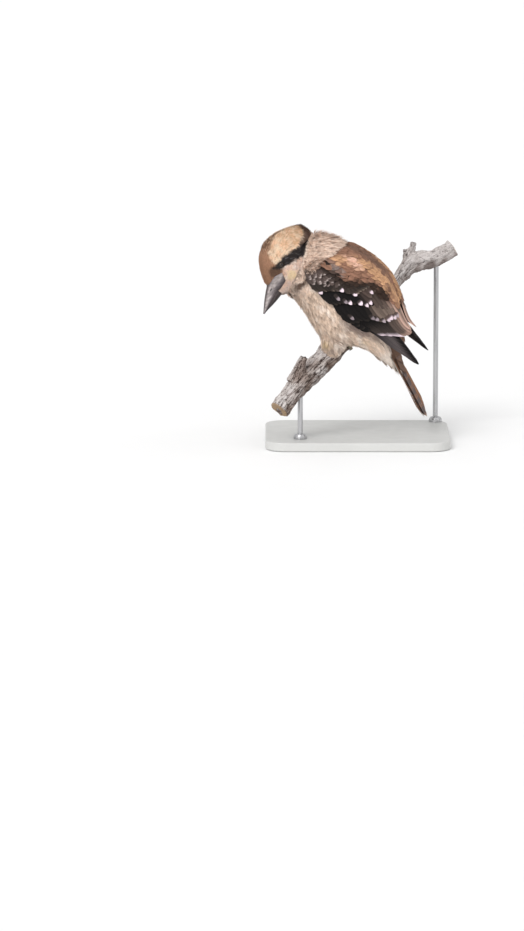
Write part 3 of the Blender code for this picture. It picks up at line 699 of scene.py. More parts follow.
def head_markings(places):
    own = into(HEAD_FRAME, places)
    side = np.abs(own[:, 1])
    ahead = own[:, 0] + 1.3 * grain(places, 0.006, 3)
    up = own[:, 2] + 1.3 * grain(places, 0.007, 4)
    fleck = grain(places, 0.0045, 6)
    colour = mixed(CHEEK, THROAT, smoothstep(-0.5, 0.9, grain(places, 0.009, 7)))
    colour = mixed(colour, THROAT, smoothstep(-22, -30, up) * smoothstep(-14, 4, ahead))
    colour = mixed(colour, NAPE, smoothstep(-26, -38, ahead))
    malar = smoothstep(10, 3, np.hypot(ahead - 4.5, 1.05 * (up + 20)) + 1.8 * fleck)
    colour = mixed(colour, MALAR, malar)
    wisps = grain(own * np.array([0.4, 1, 1]) * MM, 0.003, 19)
    colour = mixed(colour, NAPE_MOTTLE, 0.5 * smoothstep(0.3, 1.3, wisps) * (1 - malar))
    brow = smoothstep(-1, 4, up)
    brow_colour = mixed(BROW, PALE_BROW, smoothstep(-0.6, 0.8, grain(places, 0.011, 8)))
    strokes = grain(own * np.array([0.3, 1, 1]) * MM, 0.0026, 9)
    brow_colour = mixed(brow_colour, (0.52, 0.30, 0.175), 0.62 * smoothstep(0.1, 1.1, strokes))
    brow_colour = mixed(brow_colour, (1.0, 0.86, 0.68), 0.5 * smoothstep(-0.3, -1.2, strokes))
    golden = smoothstep(-10, -36, ahead) * smoothstep(-1.0, 0.9, grain(places, 0.008, 20))
    brow_colour = mixed(brow_colour, (0.60, 0.37, 0.205), 0.6 * golden)
    colour = mixed(colour, brow_colour, brow)
    edge_of_crown = np.interp(own[:, 0], (-44, -34, -24, -15, 0, 8, 14), (0, 3, 6, 9.5, 14, 18, 26))
    crown = smoothstep(2.5, -2.5, side - edge_of_crown + 1.6 * fleck) * smoothstep(-2, 6, own[:, 2])
    streak = smoothstep(0.0, 1.0, np.sin(own[:, 1] * 2.1 + 2.0 * grain(places, 0.014, 5)) + 0.7 * fleck)
    back = smoothstep(8, -16, own[:, 0])
    crown_colour = mixed(FOREHEAD, mixed(CROWN, BROW, 0.75 * streak), back)
    colour = mixed(colour, crown_colour, crown)
    forehead = smoothstep(5, 10, ahead) * smoothstep(-15, -10, up)
    colour = mixed(colour, FOREHEAD, forehead)
    lores = smoothstep(9, 4, np.hypot(0.62 * (ahead - 14), up + 0.5)) * smoothstep(9, 14, side)
    colour = mixed(colour, LORES, 0.85 * lores)
    link = smoothstep(1.6, -1.6, off_line(NAPE_LINK, ahead, up) + 1.2 * fleck)
    colour = mixed(colour, NAPE_DARK, 0.9 * link)
    nape = smoothstep(-53, -59, ahead) * smoothstep(-10, -4, up)
    colour = mixed(colour, NAPE_DARK, 0.85 * nape)
    stripe = smoothstep(1.8, -1.3, off_line(STRIPE_LINE, ahead, up) + 0.8 * fleck)
    stripe_colour = mixed(STRIPE, (0.125, 0.115, 0.115), smoothstep(0.4, 1.4, grain(places, 0.004, 18)))
    return mixed(colour, stripe_colour, stripe)


# The lines of the back: behind the middle, distance round the sheet in degrees, half width.
GOLD_LINE = np.array([(-64, 41, 6), (-40, 28, 7), (-21, 21, 8), (-4, 20, 8), (14, 16, 8), (34, 9, 6)], float)
DARK_LINE = np.array([(-74, 66, 3), (-62, 65, 4), (-47, 64, 5), (-30, 61, 6), (-18, 54, 7), (-7, 45, 6), (3, 38, 5), (19, 31, 4)], float)
SLATE_LINE = np.array([(-76, 49, 3), (-62, 53, 4), (-50, 55, 4), (-42, 55, 2)], float)


def back_colour(behind, around, first, second):
    """The rufous back, with its golden middle and its ragged dark lower edge."""
    gold = smoothstep(6, -6, off_line(GOLD_LINE, behind, around) + 5 * second)
    colour = mixed(RUFOUS, GOLD, 0.78 * gold)
    pink = smoothstep(4, -3, np.hypot((behind + 45) / 2.6, around - 31) - 4 + 2 * second)
    colour = mixed(colour, PINK_GOLD, 0.85 * pink)
    colour = mixed(colour, BACK_TOP, smoothstep(16, 5, around) * smoothstep(12, -14, behind))
    colour = mixed(colour, BACK_TOP, 0.7 * smoothstep(0.4, 1.2, first))
    dark = smoothstep(5, -3, off_line(DARK_LINE, behind, around) + 4 * first)
    slate = smoothstep(3, -2, off_line(SLATE_LINE, behind, around) + 3 * first)
    colour = mixed(colour, SLATE, 0.8 * slate * smoothstep(1.2, -0.6, second))
    return mixed(colour, BAND, 0.96 * dark)


def body_markings_and_shade(places):
    behind, around, own = round_the_body(places)
    side = own * np.array([1, 0, 1]) + np.abs(own) * np.array([0, 1, 0])
    colour = mixed(BELLY, MOTTLE, 0.8 * smoothstep(-0.1, 1.2, grain(places, 0.010, 11)))
    colour = mixed(colour, PALE, 0.85 * smoothstep(-0.1, 1.0, grain(places, 0.015, 12)))
    colour = mixed(colour, MOTTLE, 0.4 * smoothstep(0.5, 1.4, grain(places, 0.005, 10)))
    # Grey-brown mottling along the flank below the wing's lower edge: partly a real marking, partly painted
    # shadow of the wing.
    flank_mottle_and_shadow = smoothstep(82, 92, around) * smoothstep(118, 98, around) * smoothstep(-25, 10, behind)
    colour = mixed(colour, FLANK, 0.95 * flank_mottle_and_shadow * smoothstep(-1.3, 0.4, grain(places, 0.011, 16)))
    yellow = smoothstep(9, 2, np.linalg.norm(side - np.array([-36.0, 30, -21.5]), axis=1))
    yellow = np.maximum(yellow, smoothstep(9, 2, np.linalg.norm(side - np.array([-8, 30, -61]), axis=1)))
    colour = mixed(colour, YELLOWISH, 0.6 * yellow)
    thigh = smoothstep(26, 8, np.linalg.norm(side - np.array([-20, 32, -52]), axis=1))
    colour = mixed(colour, FLANK, 0.7 * thigh * smoothstep(-0.8, 0.7, grain(places, 0.007, 23)))
    in_tail = into(TAIL, places)
    vent = smoothstep(50, 66, behind) * smoothstep(95, 112, around)
    colour = mixed(colour, UNDERTAIL, 0.8 * vent)
    throat = smoothstep(-58, -70, behind)
    nape = mixed(NAPE, NAPE_MOTTLE, 0.8 * smoothstep(0.1, 1.2, grain(places, 0.009, 13)))
    colour = mixed(colour, nape, throat)
    border = smoothstep(86, 74, around + 5 * grain(places, 0.008, 14)) * smoothstep(-78, -72, behind)
    back = back_colour(behind, around, grain(places, 0.011, 15), grain(places, 0.014, 17))
    back = mixed(back, RUMP, smoothstep(45, 70, behind))
    colour = mixed(colour, back, border)
    over_tail = smoothstep(-1, 1.5, in_tail[:, 2]) * smoothstep(-28, -40, in_tail[:, 0])
    colour = mixed(colour, RUMP, over_tail)
    # Painted shade: a dark line along the fold at the front of the body, below the neck.
    fold_shade = smoothstep(4.2, 1, np.abs(behind + 80 - 0.237 * (around - 88))) * smoothstep(82, 92, around)
    fold_shade = fold_shade * smoothstep(152, 130, around)
    return mixed(colour, (0.10, 0.055, 0.038), 0.9 * fold_shade)


def markings_and_shade(places):
    share = head_share(places)
    colour = mixed(body_markings_and_shade(places), head_markings(places), share)
    _, around, _ = round_the_body(places)
    # Painted shade in the crease where the head's feathers meet the neck's, low on the sides.
    crease_shade = 4 * share * (1 - share) * smoothstep(92, 112, around)
    return mixed(colour, (0.20, 0.125, 0.095), 0.75 * crease_shade)


def colour_skin():
    attribute = SKIN.data.color_attributes.new(name="Coat", type="FLOAT_COLOR", domain="POINT")
    rgba = np.ones((len(SKIN_POINTS), 4), np.float32)
    # The skin shows only in the gaps between the feathers, so it takes the markings at six tenths: painted
    # shade.
    rgba[:, :3] = markings_and_shade(SKIN_POINTS) * 0.6
    attribute.data.foreach_set("color", rgba.ravel())


colour_skin()
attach(SKIN, "root")
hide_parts("head", "neck", "torso")

SOFT = plumage("soft plumage", False)
VANED = plumage("vaned plumage", True)
BAKE_PATCH = 0.003


# Soft feathers: each is a fan of a few tapering barbs that lies along the skin.

def lay_down(places, normals, length, loose):
    """Four places down each feather; loose lets its tip leave the skin where that ends."""
    path = [places]
    outwards = [normals]
    for _ in range(3):
        way = lie(path[-1], outwards[-1])
        ahead = path[-1] + way * (length / 3)[:, None]
        on_skin, normal, _ = nearest(ahead)
        off = ahead - on_skin
        path.append(on_skin + off * loose)
        outwards.append(unit(outwards[-1] + normal))
    path = np.stack(path, 1)
    outwards = np.stack(outwards, 1)
    ways = np.gradient(path, axis=1)
    sides = unit(np.cross(outwards, ways))
    return path, outwards, sides


def along_path(stations, share):
    """Values of four stations at shares from 0 to 1: (count, 4, 3) and (count, more)."""
    reach = np.clip(share, 0, 1) * 3
    start = np.minimum(reach.astype(int), 2)
    rest = (reach - start)[..., None]
    rows = np.arange(len(stations)).reshape((-1,) + (1,) * (share.ndim - 1))
    return stations[rows, start] * (1 - rest) + stations[rows, start + 1] * rest


def soft_coat(name, roots, length, width, lift, strands, seed, loose=0.0, colour=None):
    """One joined mesh of soft feathers at these roots; sizes in millimetres."""
    places, normals, bake = roots
    draw = np.random.default_rng(seed)
    count = len(places)
    length = length * MM * draw.uniform(0.8, 1.2, count) * np.ones(count)
    path, outwards, sides = lay_down(places, normals, length, loose)
    if colour is None:
        colour = markings_and_shade(places)
    colour = colour * draw.uniform(0.83, 1.14, (count, 1))
    spot = np.linspace(-1, 1, strands)[None, :] + draw.uniform(-0.12, 0.12, (count, strands))
    reach = 1 - 0.30 * spot**2 + draw.uniform(-0.09, 0.09, (count, strands))
    raised = lift * MM * draw.uniform(0.6, 1.4, (count, strands))
    half = width * MM * (0.95 / strands) * draw.uniform(0.8, 1.3, (count, strands))
    shade = draw.uniform(0.86, 1.10, (count, strands))
    rows = ((0.0, 1, 0.25), (0.0, -1, 0.25), (0.68, 1, 1.0), (0.68, -1, 1.0), (1.0, 0, 0.0))
    points = np.empty((count, strands, 5, 3))
    colours = np.empty((count, strands, 5, 3))
    patch = np.empty((count, strands, 5, 2))
    for corner, (share, edge, thick) in enumerate(rows):
        v = share * reach
        centre = along_path(path, v)
        out = along_path(outwards, v)
        side = unit(along_path(sides, v))
        fan = width * MM / 2 * spot * (0.35 + 0.65 * v)
        height = raised * v + 0.15 * MM
        points[:, :, corner] = centre + side * (fan + edge * thick * half)[..., None] + out * height[..., None]
        # Each barb is darker at its root, where the feathers over it shade it, and lighter at its tip: painted
        # shade and painted light.
        tone = (0.72, 0.72, 1.0, 1.0, 1.12)[corner]
        colours[:, :, corner] = colour[:, None] * (shade * tone)[..., None]
        patch[:, :, corner, 0] = bake[:, None, 0] + BAKE_PATCH * (0.4 * spot + 0.08 * edge)
        patch[:, :, corner, 1] = bake[:, None, 1] + BAKE_PATCH * (share - 0.5)
    first = np.arange(count * strands)[:, None] * 5
    faces = np.concatenate([first + np.array(face) for face in ((0, 1, 3), (0, 3, 2), (2, 3, 4))])
    made = make_mesh(name, points, faces, SOFT, colours, np.clip(patch, 0, 1))
    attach(made, "root")
    return made


# Vaned feathers: closed blades with a keel and a rounded tip.

BLADE_ACROSS = np.array([-1.0, -0.72, -0.38, -0.06, 0.06, 0.38, 0.72, 1.0])
WIDE = len(BLADE_ACROSS)


def blade_width(share, root=0.45, tip=0.62):
    rising = np.minimum(1.0, root + (1 - root) * share / 0.35)
    return rising * np.sqrt(np.maximum(0.02, 1 - np.clip((share - tip) / (1 - tip), 0, 1) ** 2.4))


def blades(name, tops, downs, colours, bakes, thick):
    """Closed blades over grids of top points (count, rows, across, 3)."""
    count, rows, across = tops.shape[:3]
    under = tops + downs * thick
    points = np.concatenate([tops.reshape(count, -1, 3), under.reshape(count, -1, 3)], axis=1)
    # The under side of each blade takes its colours at four fifths: painted shade.
    tints = np.concatenate([colours.reshape(count, -1, 3), 0.8 * colours.reshape(count, -1, 3)], axis=1)
    u, v = np.meshgrid(np.linspace(0, 1, across), np.linspace(0, 1, rows))
    own = np.stack([np.abs(2 * u - 1), v], -1).reshape(-1, 2)
    vane = np.broadcast_to(np.concatenate([own, own]), (count, 2 * rows * across, 2))
    flat = np.stack([u - 0.5, v - 0.5], -1).reshape(-1, 2)
    flat = np.concatenate([flat, flat])
    bake = bakes[:, None, :2] + flat[None] * bakes[:, None, 2:]
    lower = rows * across
    faces = []
    for row in range(rows - 1):
        for column in range(across - 1):
            a = row * across + column
            b, c, d = a + 1, a + across + 1, a + across
            faces += [(a, b, c, d), (lower + a, lower + d, lower + c, lower + b)]
    rim = [column for column in range(across)]
    rim += [row * across + across - 1 for row in range(1, rows)]
    rim += [(rows - 1) * across + column for column in range(across - 2, -1, -1)]
    rim += [row * across for row in range(rows - 2, 0, -1)]
    for here, there in zip(rim, rim[1:] + rim[:1]):
        faces.append((here, lower + here, lower + there, there))
    faces = np.array(faces)
    every = (np.arange(count)[:, None, None] * (2 * lower) + faces[None]).reshape(-1, 4)
    made = make_mesh(name, points, every, VANED, tints, np.clip(bake, 0, 1), vane)
    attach(made, "root")
    return made


def skin_blades(name, roots, length, width, lift, seed, edge_colour=None, loose=0.0, colour=None):
    """Broad rounded feathers that lie on the skin."""
    places, normals, bake = roots
    draw = np.random.default_rng(seed)
    count = len(places)
    length = length * MM * draw.uniform(0.85, 1.15, count)
    path, outwards, sides = lay_down(places, normals, length, loose)
    rows = 7
    v = np.broadcast_to(np.linspace(0, 1, rows), (count, rows))
    centre = along_path(path, v)
    out = along_path(outwards, v)
    side = unit(along_path(sides, v))
    half = width * MM / 2 * blade_width(v) * draw.uniform(0.85, 1.15, (count, 1))
    ragged = 1 + 0.12 * draw.normal(size=(count, rows, WIDE)) * (np.abs(BLADE_ACROSS) == 1)
    across = BLADE_ACROSS[None, None] * ragged
    height = (0.2 + lift * draw.uniform(0.6, 1.4, (count, 1)) * v**1.2) * MM
    drop = 0.16 * half[..., None] * across**2
    tops = centre[:, :, None] + side[:, :, None] * (half[..., None] * across)[..., None]
    tops = tops + out[:, :, None] * (height[..., None] - drop)[..., None]
    if colour is None:
        colour = markings_and_shade(places)
    tint = colour[:, None, None] * draw.uniform(0.75, 1.2, (count, 1, 1, 1))
    # Darker toward the root, under the feathers that overlap it, and a little lighter at the tip: painted shade
    # and painted light.
    tint = np.broadcast_to(tint, (count, rows, WIDE, 3)) * (0.7 + 0.4 * v)[..., None, None]
    shaft = np.where(np.abs(BLADE_ACROSS) < 0.2, 0.72, 1.0)
    tint = tint * shaft[None, None, :, None]
    if edge_colour is not None:
        edge = smoothstep(0.72, 1.0, np.maximum(np.abs(BLADE_ACROSS)[None], v[0][:, None] ** 3))
        tint = mixed(tint, np.asarray(edge_colour), 0.35 * np.broadcast_to(edge, (count, rows, WIDE)))
    places_on_map = np.concatenate([bake, np.full((count, 2), BAKE_PATCH)], axis=1)
    return blades(name, tops, -np.broadcast_to(out[:, :, None], tops.shape), tint, places_on_map, 0.12 * MM)


# Where each kind of feather grows.

def under_wing_feathers(places):
    behind, around, _ = round_the_body(places)
    upper, lower = by_station(WING_CORE, behind)
    inside = (around > upper + 4) & (around < lower + 1)
    return inside & (behind > -72) & (behind < 30)


def on_back(places):
    behind, around, _ = round_the_body(places)
    return (around < 76) & (behind > -74) & (head_share(places) < 0.5)


def near_eye(places):
    own = into(HEAD_FRAME, places)
    return np.hypot(own[:, 0], own[:, 2]) < 4.6


def at_bill(places):
    """Where horn, not feathers, covers the head."""
    own = into(HEAD_FRAME, places)
    ahead, up = own[:, 0], own[:, 2]
    back = 8.4 + 0.42 * (-8.0 - up)
    top = np.interp(ahead, (8, 17, 29, 33), (-7.0, -3.4, -8.2, -8.5))
    bottom = np.interp(ahead, (12, 17.5, 25, 30), (-18.8, -19.8, -22, -23))
    plate = (ahead > back) & (up < top) & (up > bottom)
    return plate | ((ahead > 27.5) & (up < -8.5)) | (ahead > 29.0)


def face(places):
    own = into(HEAD_FRAME, places)
    return (head_share(places) > 0.5) & (own[:, 0] > -6) & ~near_eye(places) & ~at_bill(places)


def rest_of_head(places):
    own = into(HEAD_FRAME, places)
    return (head_share(places) > 0.5) & (own[:, 0] <= -6)


def neck(places):
    behind, around, _ = round_the_body(places)
    at_wing = (around < 92) & (behind > -74)
    return (head_share(places) <= 0.5) & (behind < -56) & ~on_back(places) & ~at_wing


def breast(places):
    behind, around, _ = round_the_body(places)
    wanted = (head_share(places) <= 0.5) & (behind >= -56) & (behind < 58)
    return wanted & ~on_back(places) & ~under_wing_feathers(places)


def vent(places):
    behind, around, _ = round_the_body(places)
    in_tail = into(TAIL, places)
    over = (in_tail[:, 2] > -1) & (in_tail[:, 0] < -26)
    return (behind >= 50) & (around > 100) & ~over & (in_tail[:, 0] > -58)


def mantle(places):
    behind, around, _ = round_the_body(places)
    return on_back(places) & ~under_wing_feathers(places) & (around < 55)


def hindneck(places):
    """The loose ruff behind the head."""
    behind, around, _ = round_the_body(places)
    ahead_of_wing = (around < 52) | (behind < -76)
    return (head_share(places) <= 0.35) & (behind < -68) & (around < 125) & ahead_of_wing


def sides_of_breast(places):
    behind, around, _ = round_the_body(places)
    return (breast(places) | neck(places)) & ((around > 97) | (behind > 40))


soft_coat("face_feathers", spread_roots(0.95 * MM, 1, face), 3.6, 1.4, 1.3, 5, 1)
soft_coat("crown_and_cheek_feathers", spread_roots(1.45 * MM, 2, rest_of_head), 7.4, 2.4, 3.2, 7, 2, loose=0.55)
soft_coat("neck_feathers", spread_roots(1.9 * MM, 3, neck), 10, 3.8, 3.0, 9, 3, loose=0.3)
soft_coat("neck_ruff", spread_roots(2.3 * MM, 7, hindneck), 15, 5.0, 8.0, 12, 7, loose=0.8)
soft_coat("breast_and_belly_feathers", spread_roots(1.95 * MM, 4, breast), 10.5, 4.2, 1.8, 8, 4, loose=0.15)
soft_coat("loose_breast_feathers", spread_roots(4.0 * MM, 8, sides_of_breast), 13, 6.0, 3.4, 12, 8, loose=0.4)
soft_coat("vent_feathers", spread_roots(2.0 * MM, 5, vent), 22, 5.0, 4.2, 11, 5, loose=1.0)
skin_blades("mantle_feathers", spread_roots(4.6 * MM, 6, mantle), 15, 9, 2.4, 6, (0.40, 0.22, 0.14), loose=0.3)


# The wings.

# The flight feathers, from the body outwards: how far across the folded wing each one's line
# lies, how far behind the middle its tip is, and its height over the wing's sheet.
TERTIALS, SECONDARIES, PRIMARIES = 5, 9, 10
FLIGHT_PLACES = np.concatenate([
    (0.02, 0.11, 0.20, 0.29, 0.38),
    np.linspace(0.46, 0.92, SECONDARIES),
    np.linspace(0.61, 1.0, PRIMARIES),
])
FLIGHT_TIPS = np.concatenate([
    (76, 80, 80, 79, 77),
    (76, 73.5, 71, 68.5, 66, 63.5, 61, 58.5, 56),
    (66, 75, 83, 90, 96, 102, 107, 112, 116, 108),
])
FLIGHT_LEVELS = np.concatenate([
    np.linspace(5.0, 4.0, TERTIALS),
    np.linspace(3.7, 1.9, SECONDARIES),
    np.linspace(1.6, 0.2, PRIMARIES),
])

def atlas_place(index, grid):
    """A feather's own place on its piece's map, with grid places a side."""
    column, row = index % grid, index // grid
    size = 0.9 / grid
    return np.array([(column + 0.5) / grid, (row + 0.5) / grid, size, size])


RAGGED = np.random.default_rng(90)


def wing_blade(side, root, tip, line, width, level, slope, rows, sunk=0.0, droop=0.0, ragged=0.0):
    """One blade on the wing's sheet; line gives its degrees at stations, level its height."""
    share = np.linspace(0, 1, rows)
    along = root + (tip - root) * share
    around = line(along)
    half = width / 2 * blade_width(share, 0.5, 0.6)
    across = BLADE_ACROSS[None] * half[:, None]
    if ragged:
        across = across * (1 + ragged * RAGGED.normal(size=across.shape) * (np.abs(BLADE_ACROSS) == 1))
    degrees = around[:, None] + across / degree_length(along, around)[:, None]
    rise = share * (1.65 - 0.65 * share)
    height = sunk + (level(along) - sunk) * (rise if sunk else 1.0) - droop * share**4
    height = height[:, None] + slope(along)[:, None] * across - 0.05 * np.abs(across)
    spread = np.broadcast_to(along[:, None], degrees.shape)
    top = wing_points(side, spread, degrees, height)
    below = wing_points(side, spread, degrees, height - 1)
    return out_of(BODY, top), unit(out_of(BODY, below) - out_of(BODY, top)), share


def flight_tint(index, share, draw):
    """Dark vanes with pale tips; the innermost are brown-grey with pink-buff edges."""
    outer_web = np.clip(BLADE_ACROSS, 0, 1)[None]
    edge = smoothstep(0.7, 1.0, np.abs(BLADE_ACROSS))[None]
    v = share[:, None] * np.ones((1, WIDE))
    if index < TERTIALS:
        tint = mixed((0.085, 0.061, 0.050), (0.135, 0.096, 0.082), v)
        inner = max(0.0, 1.0 - 0.48 * index)
        margin = 0.5 + 0.5 * smoothstep(0.15, 0.75, np.abs(BLADE_ACROSS))[None]
        tint = mixed(tint, TERTIAL_TIP, inner * (0.35 + 0.5 * v) * margin)
        tint = mixed(tint, TERTIAL_TIP, 0.6 * smoothstep(0.90, 0.99, np.maximum(v, edge * (0.1 + 0.9 * v))))
    elif index < TERTIALS + SECONDARIES:
        tint = mixed(FLIGHT, (0.062, 0.047, 0.041), smoothstep(0.45, 0.9, v))
        tint = mixed(tint, SPOT, 0.9 * smoothstep(0.87, 0.93, v))
    else:
        tint = mixed(FLIGHT, (0.085, 0.070, 0.068), smoothstep(0.35, 0.85, v) * (0.4 + 0.6 * outer_web))
        tint = mixed(tint, (0.008, 0.006, 0.006), smoothstep(0.80, 0.98, v))
        tint = mixed(tint, (0.30, 0.25, 0.26), 0.30 * edge * smoothstep(0.3, 0.6, v))
    shaft = np.where(np.abs(BLADE_ACROSS) < 0.2, 0.6, 1.0)[None, :, None]
    return tint * shaft * draw.uniform(0.85, 1.15)


def flight_set(side, draw):
    made = []
    for index, (place, tip, height) in enumerate(zip(FLIGHT_PLACES, FLIGHT_TIPS, FLIGHT_LEVELS)):
        def line(along):
            inner, outer = by_station(FLIGHT_LINES, along)
            return inner + (outer - inner) * place

        width = 17 if index < TERTIALS else 13 if index < TERTIALS + SECONDARIES else 11
        tilt = 0.10 if index < TERTIALS + SECONDARIES else 0.05
        top, down, share = wing_blade(
            side, 0, tip + draw.uniform(-0.8, 0.8), line, width,
            lambda along: np.full_like(along, height), lambda along: np.full_like(along, tilt), 20,
        )
        made.append((top, down, flight_tint(index, share, draw), 0.14))
    return made


# The rows of coverts: how far behind the middle their tips are at degrees round from the back.
GREATER_TIPS = ((14, 50), (31, 50), (47, 47), (58, 43), (66, 32), (78, 22), (90, 16))
INNER_TIPS = ((30, 10), (46, 3), (55, 12), (61, 11), (66, 3), (73, -5), (80, -13), (91, -22))
MEDIAN_TIPS = ((40, -6), (52, -8), (62, -11), (70, -26), (80, -38), (91, -46))
# White spots: distance behind the middle, degrees, strength, width.
SPOTS = (
    (3, 46, 0.85, 4.4),
    (12.5, 55, 1.0, 4.8),
    (11.5, 60.5, 0.9, 4.6),
    (4, 64.5, 1.0, 6.0),
    (-6, 73, 1.0, 5.0),
    (-11, 76, 0.3, 4.4),
    (-21, 80, 0.35, 4.6),
    (-10, 62, 1.0, 5.6),
    (-26, 70, 0.95, 5.2),
    (-43, 90, 0.8, 6.0),
    (11, 84, 0.3, 4.4),
    (30, 66, 0.25, 4.4),
    (35, 63.5, 0.35, 4.4),
    (43, 58, 0.45, 4.2),
    (46.5, 50, 0.75, 5.0),
    (47, 44, 0.95, 6.4),
    (50, 37, 0.9, 6.0),
    (51, 29, 0.5, 6.0),
)


def row_of(tips, places):
    known = np.array(tips, float)
    return np.interp(places, known[:, 0], known[:, 1])


def covert_tint(base, tip_colour, spot, share, draw, start=0.84, narrow=0.5):
    v = share[:, None]
    # Darker toward the root, under the feathers that overlap it, and a little lighter at the tip: painted shade
    # and painted light.
    tint = np.broadcast_to(np.asarray(base), (len(share), WIDE, 3)) * (0.75 + 0.35 * v)[..., None]
    tint = tint * draw.uniform(0.82, 1.18, (1, WIDE, 1))
    across = np.clip(1.1 - narrow * np.abs(BLADE_ACROSS)[None], 0, 1)
    tint = mixed(tint, np.asarray(tip_colour), spot * smoothstep(start, start + 0.14, v) * across)
    shaft = np.where(np.abs(BLADE_ACROSS) < 0.2, 0.8, 1.0)[None, :, None]
    return tint * shaft * draw.uniform(0.8, 1.2)


def covert_row(side, tips, degrees, length, width, level, sunk, paint, draw, rows=9):
    made = []
    for place in degrees:
        tip = row_of(tips, place) + draw.uniform(-1.2, 1.2)
        root = tip - length
        level_here = level + draw.uniform(-0.12, 0.12)
        top, down, share = wing_blade(
            side, root, tip, lambda along: np.full_like(along, place), width,
            lambda along: np.full_like(along, level_here), lambda along: np.full_like(along, 0.13),
            rows, sunk, 0.5, 0.09,
        )
        made.append((top, down, paint(place, share, draw), 0.18))
    return made


def greater_paint(place, share, draw):
    base = mixed(mixed(TERTIAL, BEIGE, 0.22), FLIGHT, smoothstep(50, 64, place))
    return covert_tint(base, BEIGE, 0.45 if place < 60 else 0.05, share, draw)


def inner_paint(place, share, draw):
    base = mixed(mixed(TERTIAL, BAND, 0.2), FLIGHT, smoothstep(48, 62, place))
    return covert_tint(base, BEIGE, 0.25 if place < 60 else 0.12, share, draw)


def median_paint(place, share, draw):
    return covert_tint((0.034, 0.025, 0.021), BEIGE, 0.7 * draw.random(), share, draw)


def lesser_paint(place, share, draw):
    free = float(smoothstep(64, 71, place))
    spot = draw.uniform(0.5, 1.0) * (draw.random() > 0.3) * free
    start = draw.uniform(0.70, 0.84)
    base = mixed(BAND, (0.105, 0.076, 0.068), 0.1 + 0.9 * free)
    return covert_tint(base, (0.76, 0.64, 0.60), spot, share, draw, start, 0.95)


def spotted_feathers(side, draw):
    """A feather for each white spot, over its neighbours."""
    made = []
    for behind, place, strength, width in SPOTS:
        top, down, share = wing_blade(
            side, behind - 14, behind + 1.5, lambda along: np.full_like(along, place), width,
            lambda along: np.full_like(along, 6.9), lambda along: np.full_like(along, 0.10),
            9, 3.0, 0.3, 0.03,
        )
        v = share[:, None] * np.ones((1, WIDE))
        plain_colour = mixed((0.030, 0.022, 0.020), TERTIAL, float(smoothstep(62, 50, place)))
        tint = np.broadcast_to(plain_colour, (9, WIDE, 3))
        tint = mixed(tint, SPOT, strength * smoothstep(0.60, 0.76, v))
        made.append((top, down, tint, 0.18))
    return made


def scapular_edge(behind):
    """The lower edge of the rufous scapulars, in degrees round from the back."""
    return np.interp(behind, (-74, -50, -29, -19, -8, 8, 18, 34, 50), (60, 58, 56, 48, 41, 39, 36, 24, 17))


def scapular_tint(along, place, share, draw):
    behind = along
    around = np.full_like(along, place)
    seed = draw.normal(size=2)
    base = back_colour(behind, around, np.full_like(along, seed[0] * 0.6), np.full_like(along, seed[1] * 0.6))
    # Darker toward the root, under the feathers that overlap it, and a little lighter at the tip: painted shade
    # and painted light.
    tint = base[:, None] * np.ones((1, WIDE, 1)) * (0.72 + 0.42 * share)[:, None, None]
    v = share[:, None]
    edge = smoothstep(0.55, 1.0, np.maximum(np.abs(BLADE_ACROSS)[None], v**4))
    tint = tint * (1 + draw.uniform(0.0, 0.26) * edge[..., None])
    tint = tint * draw.uniform(0.90, 1.10, (1, WIDE, 1)) * draw.uniform(0.95, 1.05, (9, 1, 1))
    shaft = np.where(np.abs(BLADE_ACROSS) < 0.2, 0.84, 1.0)[None, :, None]
    return tint * shaft * draw.uniform(0.86, 1.14)


def scapular_feathers(side, draw):
    """Rows of small overlapping feathers from the shoulder to the rump."""
    made = []
    for number, tip in enumerate(np.arange(-58, 45, 4.8)):
        bottom = float(scapular_edge(tip - 5))
        for place in np.arange(bottom - 2.7 * (number % 2), 1.5, -5.4):
            place = place + draw.uniform(-1, 1)
            end = tip + draw.uniform(-3, 3)
            length = draw.uniform(17, 24)
            level = 3.4 + 3.4 * float(smoothstep(2, 24, place)) + draw.uniform(-0.35, 0.45)
            level += 1.3 * float(smoothstep(4, 30, tip)) * float(smoothstep(2, 10, place))
            top, down, share = wing_blade(
                side, end - length, end, lambda along: np.full_like(along, place), draw.uniform(7, 9.5),
                lambda along: np.full_like(along, level), lambda along: np.full_like(along, 0.12),
                9, 1.4, 0.6, 0.12,
            )
            along = end - length + length * share
            made.append((top, down, scapular_tint(along, place, share, draw), 0.16))
    return made


